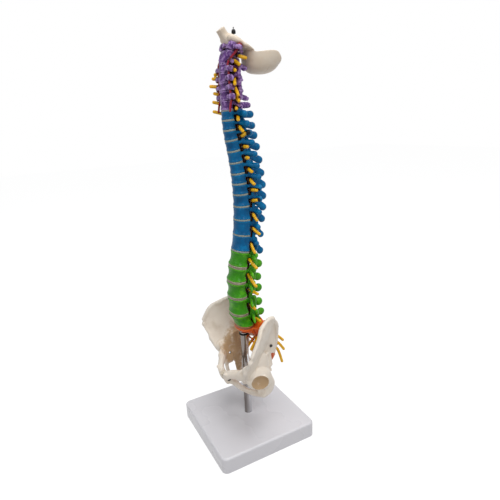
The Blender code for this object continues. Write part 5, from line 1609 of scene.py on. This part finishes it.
@dataclass
class HipBone:
    """Ilium, ischium and pubis as one moulding."""

    left: bool
    outward: Triple = (0.88, -0.28, -0.14)
    socket_radius: float = 12.0
    socket_body: Triple = (37.0, -0.5, 88.5)
    body: Triple = (11.4, 15.5, 14.5)
    dish: float = 16.8
    pubis_x: float = 2.2
    ilium: tuple = (
        ((20.6, 33.0, 104.5), (22.8, 35.0, 112.0), (24.6, 36.0, 122.0), (26.0, 35.0, 132.0), (30.0, 30.0, 143.5)),
        ((24.8, 22.0, 109.0), (25.6, 24.0, 116.5), (26.8, 25.0, 126.5), (29.5, 25.0, 138.5), (34.5, 22.5, 153.0)),
        ((26.2, 11.0, 106.5), (26.8, 12.5, 115.0), (30.0, 14.5, 126.5), (35.0, 16.0, 141.5), (39.5, 17.5, 158.5)),
        ((32.5, 0.5, 98.5), (33.5, 2.0, 111.0), (37.0, 4.0, 125.0), (39.8, 5.5, 140.5), (41.5, 6.5, 158.5)),
        ((38.0, -11.0, 95.5), (41.5, -10.5, 107.5), (44.8, -9.5, 121.0), (46.8, -8.0, 136.0), (46.0, -6.5, 153.5)),
        ((40.0, -20.5, 96.0), (46.0, -22.0, 107.0), (53.0, -25.0, 115.5), (57.5, -26.5, 123.5), (54.5, -20.0, 141.0)),
    )
    thick: tuple = (6.0, 5.0, 3.8, 3.2, 4.4)
    far_column: tuple = ((27.0, -9.9, 91.8), (27.0, -10.6, 80.8), (27.0, -10.6, 72.2), (27.0, -9.1, 63.0))
    far_column_sizes: tuple = ((2.6, 3.0), (2.4, 3.0), (2.3, 3.0), (2.2, 2.8))
    # Points on the right hip's inner wall round which its colour darkens as painted shade.
    far_shade: tuple = (
        (27.0, 2.1, 137.7), (27.0, -3.0, 122.9), (27.0, -6.8, 107.6), (27.0, -9.1, 94.4), (27.0, -4.4, 81.6),
        (27.0, 4.4, 87.2), (27.0, 5.6, 106.6), (27.0, 6.8, 125.5), (27.0, 1.7, 68.0),
    )

    def blade(self, clay: Clay) -> None:
        """The ilium's curved plate, thinner in its middle."""
        columns = [
            [Section(Vector(p), Vector((t, 0.0, 0.0)), Vector()) for p, t in zip(col, self.thick)]
            for col in self.ilium
        ]

        def middle(along: float, up: float) -> tuple[Vector, float]:
            rows = [mixed(column, up) for column in columns]
            done = mixed(rows, along)
            return done.centre, done.across.x

        def place(share_round: float, share_along: float) -> Vector:
            up = 2.0 * share_round if share_round <= 0.5 else 2.0 - 2.0 * share_round
            side = 1.0 if share_round <= 0.5 else -1.0
            point, thick = middle(share_along, up)
            step = 0.02
            along = middle(min(share_along + step, 1.0), up)[0] - middle(max(share_along - step, 0.0), up)[0]
            upward = middle(share_along, min(up + step, 1.0))[0] - middle(share_along, max(up - step, 0.0))[0]
            normal = along.cross(upward).normalized()
            round_edge = sqrt(max(1.0 - abs(2.0 * up - 1.0) ** 14, 0.0))
            thinner = 1.0 - 0.28 * exp(-(((up - 0.6) / 0.22) ** 2)) * sin(pi * share_along) ** 2
            return point + normal * side * 0.5 * thick * thinner * round_edge

        clay.wrap(place, 60, 40)

    def crest(self, clay: Clay) -> None:
        """The thick rim of the blade with its spines."""
        top = [column[-1] for column in self.ilium]
        line = [
            (27.4, 34.4, 134.5), top[0], top[1], top[2], top[3], top[4], (51.8, -14.8, 147.6), top[5],
            (57.0, -25.4, 130.0),
        ]
        line = [(x, y, z - 1.4) for x, y, z in line]
        sizes = (
            (3.4, 3.2), (3.6, 3.2), (3.2, 2.8), (2.8, 2.4), (2.6, 2.3), (2.9, 2.5), (3.1, 2.6), (2.9, 2.4), (2.6, 2.3),
        )
        clay.limb(line, sizes)
        clay.ball((56.2, -25.4, 122.6), (2.8, 3.0, 3.6))
        clay.limb(
            ((52.5, -24.0, 116.5), (48.2, -22.4, 112.0), (46.6, -22.0, 107.6)), ((2.2, 2.0), (2.1, 1.9), (2.6, 2.4)),
        )
        clay.ball((45.6, -21.4, 106.2), (3.0, 3.0, 3.6))
        clay.limb(
            ((44.6, -20.4, 104.0), (40.6, -18.0, 98.0), (38.0, -15.0, 94.0)), ((2.8, 2.6), (3.2, 3.0), (4.0, 4.0)),
        )
        clay.limb(
            ((27.0, 35.0, 133.0), (25.4, 35.6, 124.0), (23.4, 34.6, 113.0), (21.6, 32.6, 105.5)),
            ((3.4, 3.0), (3.2, 2.8), (3.0, 2.8), (2.6, 2.4)),
        )
        clay.limb(
            ((22.6, 30.8, 105.2), (25.0, 23.0, 108.4), (26.6, 15.0, 108.0), (27.6, 12.4, 102.0)),
            ((3.0, 2.2), (3.2, 2.2), (3.6, 2.8), (4.0, 4.4)),
        )

    def ring(self, clay: Clay) -> None:
        """Ischium and pubis round the obturator opening."""
        clay.ball(self.socket_body, self.body)
        clay.ball((33.6, 3.0, 101.0), (6.4, 12.0, 17.0))
        clay.ball((33.0, 9.0, 80.0), (7.5, 9.0, 12.0))
        clay.ball((36.0, -10.0, 96.0), (8.0, 9.0, 9.0))
        clay.limb(
            ((32.0, 9.0, 88.0), (31.2, 14.6, 78.0), (29.6, 17.6, 69.0), (27.4, 15.4, 60.0), (25.6, 12.8, 55.4)),
            ((6.0, 7.8), (5.0, 6.4), (4.8, 6.6), (5.0, 6.4), (4.2, 4.8)),
        )
        clay.limb(((27.5, 15.0, 92.0), (28.4, 19.4, 87.6), (29.2, 20.6, 85.6)), ((3.0, 3.8), (1.8, 2.2), (1.2, 1.3)))
        clay.limb(((30.0, 9.0, 90.0), (28.4, 10.4, 101.0), (27.0, 12.0, 109.0)), ((4.8, 6.6), (3.4, 5.6), (2.6, 4.6)))
        clay.limb(
            ((26.5, 11.0, 56.0), (18.0, 0.6, 56.8), (11.0, -7.6, 60.4), (7.4, -15.4, 68.6), (6.4, -21.0, 75.0)),
            ((4.2, 5.4), (3.4, 4.6), (3.2, 4.4), (3.4, 4.4), (3.8, 4.6)), side=(0.3, 1.0, 0.0),
        )
        clay.limb(
            ((36.0, -8.0, 90.6), (27.0, -15.4, 89.4), (18.0, -20.8, 88.4), (12.0, -24.8, 86.2), (7.6, -26.6, 83.4)),
            ((5.6, 8.2), (4.8, 6.8), (4.2, 5.8), (3.8, 5.2), (3.8, 5.4)), side=(0.0, 1.0, 0.0),
        )
        clay.limb(
            ((6.0, -26.6, 84.0), (5.8, -25.4, 78.5), (5.6, -23.6, 73.6)),
            ((3.3, 4.0), (3.3, 4.4), (3.0, 4.0)), outline=Outline.SOFT,
        )
        clay.ball((10.0, -29.4, 87.0), (2.6, 2.2, 2.0))
        for low, high, wide in (
            ((28.4, -10.0, 91.0), (30.6, -12.0, 101.0), 7.0), ((28.6, -1.0, 88.0), (31.4, -3.0, 108.0), 8.0),
            ((28.4, 9.0, 88.0), (28.6, 5.0, 115.0), 8.0), ((28.0, 17.0, 92.0), (25.6, 15.0, 114.0), 7.0),
            ((27.6, 9.4, 60.0), (28.6, 7.0, 84.0), 7.0), ((24.6, -18.0, 90.0), (26.6, -15.0, 96.0), 5.0),
            ((25.6, -9.0, 79.0), (28.4, -8.0, 92.0), 7.4),
        ):
            clay.limb(
                (low, Vector(low).lerp(Vector(high), 0.5), high), ((wide, 2.6), (wide, 2.4), (wide * 0.8, 2.0)),
                side=(0.0, 1.0, 0.0),
            )

    def rim(self, clay: Clay) -> None:
        """Lip of the socket, open at its notch below."""
        outward = Vector(self.outward).normalized()
        turn = aim(outward, Vector((0.0, 1.0, 0.0)))
        centre = Vector(self.socket_body) + outward * 9.0
        line = []
        for k in range(13):
            angle = radians(-238.0 + 300.0 * k / 12)
            line.append(centre + turn @ Vector((9.3 * cos(angle), 9.3 * sin(angle), 0.0)))
        clay.limb(line, ((1.0, 1.2),) * 13, side=tuple(outward), sides=12)

    def build(self) -> bpy.types.Object:
        """The finished bone."""
        clay = Clay()
        for make in (self.blade, self.crest, self.ring, self.rim):
            make(clay)
        if self.left:
            for vert in clay.bm.verts:
                vert.co.y += 0.25 * max(25.0 - vert.co.y, 0.0) * min(max((vert.co.z - 103.0) / 42.0, 0.0), 1.0)
                vert.co.y -= 0.4 * max(vert.co.y - 25.0, 0.0) * min(max((150.0 - vert.co.z) / 15.0, 0.0), 1.0)
        if not self.left:
            clay.limb(self.far_column, self.far_column_sizes, side=(0.0, 1.0, 0.0))
        socket = Clay()
        dish = Vector(self.socket_body) + Vector(self.outward).normalized() * self.dish
        socket.ball(dish, (self.socket_radius,) * 3)
        cutters = [socket]
        if not self.left:
            flip = Matrix.Scale(-1.0, 4, (1.0, 0.0, 0.0))
            for part in (clay, *cutters):
                bmesh.ops.transform(part.bm, matrix=flip, verts=part.bm.verts)
                bmesh.ops.reverse_faces(part.bm, faces=part.bm.faces)
            hole = Clay()
            hole.limb(((-54.0, 5.6, 73.4), (-20.0, -8.0, 93.8)), ((1.3, 1.6), (1.3, 1.6)))
            cutters.append(hole)
        sign = 1.0 if self.left else -1.0
        dents = (
            ((sign * 31.5, -2.0, 92.0), 9.0, 0.8),
            ((sign * 42.0, -12.5, 128.0), 15.0, -0.6),
        )
        # Painted shade on the right hip's inner wall.
        inner = [] if self.left else [Sheet(mirrored(self.far_shade), 0.5)]
        moulding = Moulding(0.7, 4, 0.3, 7.0, 15.0, keep=0.6)
        obj = moulding.cast("hip_left" if self.left else "hip_right", clay, (), cutters, dents, inner)
        self.trim(obj, sign)
        return dress(obj, BONE, "bone_ivory", "hip_bone_left" if self.left else "hip_bone_right")

    def trim(self, obj: bpy.types.Object, sign: float) -> None:
        """Flatten what would pass the face of the pubic joint, and paint shade on the socket's floor."""
        mesh = obj.data
        co = vectors(mesh) / MM
        low = (co[:, 0] * sign < self.pubis_x) & (co[:, 2] < 100.0)
        co[low, 0] = sign * self.pubis_x
        # Painted shade: the socket's floor takes the recess colour.
        dish = Vector(self.socket_body) + Vector(self.outward).normalized() * self.dish
        gap = np.linalg.norm(co - np.array((sign * dish.x, dish.y, dish.z)), axis=1)
        held = np.zeros(len(co), np.float32)
        mesh.attributes["wash"].data.foreach_get("value", held)
        mark(mesh, "wash", np.maximum(held, np.clip((self.socket_radius + 0.9 - gap) / 1.2, 0.0, 1.0)))
        move_points(mesh, co)


@dataclass
class PelvicFixings:
    """Screws of the pelvis and the pad of the pubic joint."""

    joint_screw: Pair = (21.8, 117.4)
    pubic_screw: Pair = (-24.5, 78.5)

    def build(self) -> None:
        """Every finished fixing."""
        for side, sign in (("left", 1.0), ("right", -1.0)):
            self.screw(f"screw_{side}", sign, f"sacroiliac_screw_{side}")
        self.cross_pin()
        clay = Clay()
        rows = [
            section(level(-24.6, 79.0, 30.0), 2.0, 3.6, (0.0, 0.0, z)) for z in (-6.4, -5.0, 0.0, 5.0, 6.4)
        ]
        clay.sweep(rows, 24, 12, Outline.BOXY)
        obj = Moulding(0.35, 2, 0.05, 3.0).cast("pad_pubis", clay)
        mark(obj.data, "band", np.full(len(obj.data.vertices), 0.6))
        dress(obj, PUBIC_PAD, "disc_grey", "pubic_disc")

    def head(self, clay_bm: bmesh.types.BMesh, radius: float, height: float, matrix: Matrix) -> None:
        """A domed head with a cross cut into it."""
        made = bmesh.ops.create_cone(
            clay_bm, cap_ends=True, segments=32, radius1=radius, radius2=radius * 0.55, depth=height
        )
        bmesh.ops.transform(clay_bm, matrix=matrix @ Matrix.Translation((0.0, 0.0, height * 0.5)), verts=made["verts"])

    def screw(self, name: str, sign: float, node: str) -> None:
        """Screw through the ilium into the sacrum, head outside."""
        y, z = self.joint_screw
        bm = bmesh.new()
        turn = Matrix.Rotation(pi / 2.0 * sign, 4, "Y")
        base = Matrix.Translation((sign * 29.3, y, z)) @ turn
        self.head(bm, 1.9, 1.2, base)
        shank = bmesh.ops.create_cone(bm, cap_ends=True, segments=24, radius1=1.4, radius2=1.6, depth=13.6)
        bmesh.ops.transform(bm, matrix=base @ Matrix.Translation((0.0, 0.0, -6.8)), verts=shank["verts"])
        obj = mesh_object(name, bm)
        self.cross(obj, base @ Matrix.Translation((0.0, 0.0, 1.2)), 1.5, 0.4)
        self.finish(obj, node)

    def cross_pin(self) -> None:
        """Screw across the pubic joint with a head on one side and a nut on the other."""
        y, z = self.pubic_screw
        bm = bmesh.new()
        turn = Matrix.Rotation(pi / 2.0, 4, "Y")
        shank = bmesh.ops.create_cone(bm, cap_ends=True, segments=24, radius1=1.1, radius2=1.1, depth=19.6)
        place = Matrix.Translation((0.0, y, z))
        bmesh.ops.transform(bm, matrix=place @ turn, verts=shank["verts"])
        self.head(bm, 2.2, 1.3, Matrix.Translation((9.4, y, z)) @ turn)
        nut = bmesh.ops.create_cone(bm, cap_ends=True, segments=6, radius1=2.2, radius2=2.2, depth=1.3)
        bmesh.ops.transform(bm, matrix=Matrix.Translation((-10.05, y, z)) @ turn, verts=nut["verts"])
        obj = mesh_object("screw_pubis", bm)
        self.cross(obj, Matrix.Translation((10.7, y, z)) @ turn, 1.6, 0.5)
        self.finish(obj, "pubic_screw")

    def cross(self, obj: bpy.types.Object, place: Matrix, reach: float, half: float) -> None:
        """Cut a cross-shaped driver recess."""
        for turn in (0.0, pi / 2.0):
            bm = bmesh.new()
            bmesh.ops.create_cube(bm, size=1.0)
            shape = Matrix.Diagonal((reach * 2.0, half * 2.0, 1.6, 1.0))
            bmesh.ops.transform(bm, matrix=place @ Matrix.Rotation(turn + 0.3, 4, "Z") @ shape, verts=bm.verts)
            carve(obj, mesh_object("driver", bm))

    def finish(self, obj: bpy.types.Object, node: str) -> None:
        """Soften a screw's edges and dress it."""
        obj.data.transform(Matrix.Scale(MM, 4))
        edge = obj.modifiers.new("edge", "BEVEL")
        edge.width, edge.segments, edge.limit_method, edge.angle_limit = 0.00012, 2, "ANGLE", SHARP
        applied(obj)
        obj.data.shade_smooth()
        obj.data.set_sharp_from_angle(angle=SHARP)
        dress(obj, STEEL, "screw_steel", node)


# Stand and fittings


@dataclass
class Stand:
    """Hollow base, chromed rod, its ring and the screw that holds it."""

    size: float = 120.0
    height: float = 18.8
    corner: float = 6.6
    fillet: float = 2.5
    wall: float = 2.6
    rod_y: float = ROD_Y
    rod_radius: float = 4.5
    rod_seat: float = 8.0
    rod_top: float = ROD_TOP
    ring_z: float = ROD_TOP - 3.0
    ring_radius: float = 6.0
    ring_height: float = 1.6

    def box(self, half: float, corner: float, low: float, high: float, fillet: float) -> bmesh.types.BMesh:
        """A box with rounded upright corners and a rounded top edge."""
        bm = bmesh.new()
        bmesh.ops.create_cube(bm, size=1.0)
        size = Matrix.Diagonal((2.0 * half, 2.0 * half, high - low, 1.0))
        bmesh.ops.transform(bm, matrix=Matrix.Translation((0.0, 0.0, 0.5 * (low + high))) @ size, verts=bm.verts)
        upright = [e for e in bm.edges if abs(e.verts[0].co.z - e.verts[1].co.z) > 0.5 * (high - low)]
        bmesh.ops.bevel(
            bm, geom=upright, offset=corner, offset_type="OFFSET", segments=12, profile=0.5, affect="EDGES", material=-1
        )
        if fillet:
            top = [e for e in bm.edges if all(abs(v.co.z - high) < 1e-4 for v in e.verts)]
            bmesh.ops.bevel(
                bm, geom=top, offset=fillet, offset_type="OFFSET", segments=8, profile=0.5, affect="EDGES", material=-1
            )
        return bm

    def base(self) -> None:
        """The hollow moulded base with its boss and ribs."""
        half, roof = 0.5 * self.size, self.height - self.wall
        base = mesh_object("stand_base", self.box(half, self.corner, 0.0, self.height, self.fillet))
        inner = half - self.wall
        hollow = self.box(inner, self.corner - self.wall, -1.0, roof, 1.2)
        jobs = [("DIFFERENCE", hollow)]
        boss = bmesh.new()
        bmesh.ops.create_cone(boss, cap_ends=True, segments=64, radius1=8.3, radius2=8.6, depth=roof + 0.6 - 4.6)
        bmesh.ops.translate(boss, verts=boss.verts, vec=(0.0, self.rod_y, 0.5 * (roof + 0.6 + 4.6)))
        jobs.append(("UNION", boss))
        for across in (True, False):
            rib = bmesh.new()
            bmesh.ops.create_cube(rib, size=1.0)
            long = (1.8, 2.0 * inner + 1.0) if across else (2.0 * inner + 1.0, 1.8)
            shape = Matrix.Diagonal((long[0], long[1], 8.5, 1.0))
            place = Matrix.Translation((0.0, 0.0 if across else self.rod_y, roof - 3.75))
            bmesh.ops.transform(rib, matrix=place @ shape, verts=rib.verts)
            jobs.append(("UNION", rib))
        for radius, low, high in (
            (self.rod_radius + 0.2, self.rod_seat - 0.3, self.height + 1.0), (1.9, 0.0, self.rod_seat + 1.0),
        ):
            bore = bmesh.new()
            bmesh.ops.create_cone(bore, cap_ends=True, segments=64, radius1=radius, radius2=radius, depth=high - low)
            bmesh.ops.translate(bore, verts=bore.verts, vec=(0.0, self.rod_y, 0.5 * (low + high)))
            jobs.append(("DIFFERENCE", bore))
        for operation, solid in jobs:
            carve(base, mesh_object("tool", solid), operation)
        base.data.transform(Matrix.Scale(MM, 4))
        base.data.shade_smooth()
        base.data.set_sharp_from_angle(angle=radians(35.0))
        dress(base, BASE_WHITE, "base_white", "base")

    def turned(self, name: str, profile: Sequence[Pair], y: float, steps: int = 64) -> bpy.types.Object:
        """A turned piece from a closed profile of radius and height."""
        bm = bmesh.new()
        verts = [bm.verts.new((radius, 0.0, z)) for radius, z in profile]
        edges = [bm.edges.new(pair) for pair in zip(verts, verts[1:] + verts[:1])]
        bmesh.ops.spin(
            bm, geom=[*verts, *edges], cent=(0.0, 0.0, 0.0), axis=(0.0, 0.0, 1.0), dvec=(0.0, 0.0, 0.0),
            angle=2.0 * pi, steps=steps, use_merge=True, use_duplicate=False,
        )
        bmesh.ops.remove_doubles(bm, verts=bm.verts, dist=WELD)
        bmesh.ops.dissolve_degenerate(bm, edges=bm.edges, dist=WELD)
        bmesh.ops.recalc_face_normals(bm, faces=bm.faces)
        bmesh.ops.translate(bm, verts=bm.verts, vec=(0.0, y, 0.0))
        bmesh.ops.scale(bm, verts=bm.verts, vec=(MM, MM, MM))
        obj = mesh_object(name, bm)
        obj.data.shade_smooth()
        obj.data.set_sharp_from_angle(angle=radians(32.0))
        return obj

    def rod(self) -> None:
        """The rod, its ring and its screw."""
        r, top, low = self.rod_radius, self.rod_top, self.rod_seat
        profile = [(0.0, low), (r - 0.4, low), (r, low + 0.4), (r, top - 1.6)]
        profile += [(r - 0.55 * (1 - cos(k * pi / 10)) * 1.0, top - 1.6 + 0.9 * sin(k * pi / 10)) for k in range(1, 6)]
        profile += [
            (r - 1.0, top - 0.5), (r - 1.3, top - 0.15), (r - 1.9, top), (1.9, top), (1.9, top - 17.0),
            (0.0, top - 17.0),
        ]
        dress(self.turned("rod", profile, self.rod_y), CHROME, "rod_chrome", "stand_rod")
        z, radius, half = self.ring_z, self.ring_radius, 0.5 * self.ring_height
        middle = 0.5 * (radius + r + 0.1)
        wide = radius - middle
        loop = [(middle + wide * cos(k * pi / 8), z + half * sin(k * pi / 8)) for k in range(16)]
        ring = self.turned("ring", loop, self.rod_y)
        even(ring)
        dress(ring, RUBBER, "black_fitting", "rod_ring")
        foot = 4.6 - AIR
        head = [(0.0, foot - 2.0), (1.6, foot - 2.0), (2.5, foot - 1.6), (3.0, foot - 0.8), (3.1, foot), (1.6, foot)]
        head += [(1.6, self.rod_seat + 9.4), (1.0, self.rod_seat + 10.0), (0.0, self.rod_seat + 10.0)]
        screw = self.turned("screw_base", head, self.rod_y, 32)
        screw.data.transform(Matrix.Scale(1.0 / MM, 4))
        PelvicFixings().cross(screw, Matrix.Translation((0.0, self.rod_y, foot - 2.0)), 2.0, 0.5)
        screw.data.transform(Matrix.Scale(MM, 4))
        screw.data.shade_smooth()
        screw.data.set_sharp_from_angle(angle=SHARP)
        dress(screw, STEEL, "screw_steel", "rod_screw")

    def build(self) -> None:
        """Every finished piece of the stand."""
        self.base()
        self.rod()


@dataclass
class Fittings:
    """Core through the bones with its stopper and hanging eye."""

    layout: Layout
    top: Pair = (10.0, 445.2)

    def build(self, stand: Stand) -> None:
        """Every finished fitting."""
        lay = self.layout
        dens = Vector((0.0, *lay.dens_foot))
        course = [Vector((0.0, stand.rod_y, stand.rod_top - 16.0)), Vector((0.0, stand.rod_y, stand.rod_top))]
        course += [joint.centre for joint in lay.column]
        course += [dens, dens + (dens - lay.column[-1].centre).normalized() * 4.4, Vector((0.0, *self.top))]
        clay = Clay()
        clay.limb(course, ((1.1, 1.1),) * len(course), sides=12)
        core = Moulding(0.34, 2, 0.02, 3.0, keep=0.25).cast("core", clay)
        dress(core, RUBBER, "black_fitting", "flexible_core")
        y, z = self.top
        foot = z + 0.8 + AIR
        knob = [(0.0, foot), (1.7, foot), (2.0, foot + 0.3), (2.1, foot + 1.0), (2.05, foot + 2.2), (1.85, foot + 3.0)]
        knob += [(1.5, foot + 3.7), (1.0, foot + 4.1), (0.0, foot + 4.2)]
        piece = stand.turned("knob", knob, y, 32)
        even(piece)
        dress(piece, RUBBER, "black_fitting", "stopper")
        eye = foot + 4.2 + AIR + 0.8
        loop = [(0.66 + 0.24 * cos(k * pi / 4), 0.34 * sin(k * pi / 4)) for k in range(8)]
        hoop = stand.turned("eye", loop, 0.0, 28)
        hoop.data.transform(Matrix.Translation((0.0, y * MM, eye * MM)) @ Matrix.Rotation(pi / 2.0, 4, "X"))
        dress(hoop, STEEL, "screw_steel", "hanging_eye")


# Studio


@dataclass
class Studio:
    """Camera of the photograph, soft lamps, pale floor and white surroundings."""

    place: Triple = (405.459, -195.954, 364.934)
    forward: Triple = (-0.84808773, 0.44341855, -0.29004689)
    up: Triple = (-0.23348993, 0.17863418, 0.95580975)
    lens: float = 30.6

    def camera(self) -> None:
        """The photograph's point of view."""
        data = bpy.data.cameras.new("camera")
        data.lens, data.sensor_width = self.lens, 36.0
        data.clip_start, data.clip_end = 0.01, 20.0
        obj = bpy.data.objects.new("camera", data)
        back, up = -Vector(self.forward).normalized(), Vector(self.up).normalized()
        turn = Matrix((up.cross(back), up, back)).transposed()
        obj.matrix_world = Matrix.Translation(Vector(self.place) * MM) @ turn.to_4x4()
        bpy.context.scene.collection.objects.link(obj)
        bpy.context.scene.camera = obj

    def lamp(self, name: str, place: Triple, size: float, power: float, target: Triple = (0.0, 0.0, 0.22)) -> None:
        """A square soft box that faces the model."""
        data = bpy.data.lights.new(name, "AREA")
        data.shape, data.size, data.energy = "SQUARE", size, power
        obj = bpy.data.objects.new(name, data)
        way = Vector(target) - Vector(place)
        obj.matrix_world = Matrix.Translation(place) @ way.to_track_quat("-Z", "Y").to_matrix().to_4x4()
        bpy.context.scene.collection.objects.link(obj)

    def floor(self) -> None:
        """A pale floor that reaches past the picture."""
        bm = bmesh.new()
        bmesh.ops.create_grid(bm, x_segments=1, y_segments=1, size=4.0)
        bmesh.ops.translate(bm, verts=bm.verts, vec=(0.0, 0.0, -0.0002))
        obj = mesh_object("floor", bm)
        material, nodes, links, shader = blank_material("FloorWhite")
        shader.inputs["Base Color"].default_value = (0.6, 0.6, 0.6, 1.0)
        shader.inputs["Roughness"].default_value = 0.9
        shader.inputs["Specular IOR Level"].default_value = 0.0
        glow = nodes.new("ShaderNodeEmission")
        glow.inputs["Color"].default_value = (1.0, 1.0, 1.0, 1.0)
        glow.inputs["Strength"].default_value = 1.15
        path = nodes.new("ShaderNodeLightPath")
        mix = nodes.new("ShaderNodeMixShader")
        wires = Wires(material.node_tree)
        seen = wires.math("ADD", path.outputs["Is Camera Ray"], path.outputs["Is Glossy Ray"], True)
        links.new(wires.math("MULTIPLY", seen, 0.84), mix.inputs["Fac"])
        links.new(shader.outputs["BSDF"], mix.inputs[1])
        links.new(glow.outputs["Emission"], mix.inputs[2])
        links.new(mix.outputs["Shader"], nodes["Material Output"].inputs["Surface"])
        obj.data.materials.append(material)

    def world(self) -> None:
        """White where it is seen or mirrored, and a dim even light elsewhere."""
        world = bpy.data.worlds.new("studio")
        bpy.context.scene.world = world
        world.use_nodes = True
        nodes, links = world.node_tree.nodes, world.node_tree.links
        lit = nodes["Background"]
        lit.inputs["Color"].default_value = (0.95, 0.97, 1.0, 1.0)
        lit.inputs["Strength"].default_value = 0.26
        white = nodes.new("ShaderNodeBackground")
        white.inputs["Color"].default_value = (1.0, 1.0, 1.0, 1.0)
        white.inputs["Strength"].default_value = 1.0
        path = nodes.new("ShaderNodeLightPath")
        wires = Wires(world.node_tree)
        seen = wires.math("ADD", path.outputs["Is Camera Ray"], path.outputs["Is Transmission Ray"], True)
        seen = wires.math("ADD", seen, path.outputs["Is Glossy Ray"], True)
        mix = nodes.new("ShaderNodeMixShader")
        links.new(seen, mix.inputs["Fac"])
        links.new(lit.outputs["Background"], mix.inputs[1])
        links.new(white.outputs["Background"], mix.inputs[2])
        links.new(mix.outputs["Shader"], nodes["World Output"].inputs["Surface"])

    def build(self) -> None:
        """The whole studio."""
        self.camera()
        self.lamp("key", (1.15, -0.15, 1.25), 0.7, 8.8)
        self.lamp("fill", (0.1, -1.35, 0.8), 0.9, 3.6)
        self.lamp("top", (0.15, 0.25, 1.7), 1.1, 15.5)
        self.floor()
        self.world()
        bpy.context.scene.view_settings.view_transform = "Standard"


def main() -> None:
    """Build every piece in order."""
    logging.basicConfig(level=logging.INFO, format="%(name)s %(message)s")
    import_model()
    Studio().build()
    layout = Layout()
    for i, row in enumerate(LEVELS[:-1]):
        Vertebra(row, layout.column[i], layout.column[i + 1]).build(layout, i)
        if row.name[0] != "C" or row.name == "C7":
            below = LEVELS[i - 1].name if i else "S1"
            Disc(f"disc_{row.name}_{below}", layout.column[i]).build()
    Axis(layout).build()
    Atlas(layout).build()
    Occiput(layout).build()
    nerves = Nerves(layout)
    nerves.build()
    Arteries(layout).build()
    Sacrum(layout, nerves).build()
    HipBone(True).build()
    HipBone(False).build()
    PelvicFixings().build()
    stand = Stand()
    stand.build()
    Fittings(layout).build(stand)
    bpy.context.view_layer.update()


if __name__ == "__main__":
    main()
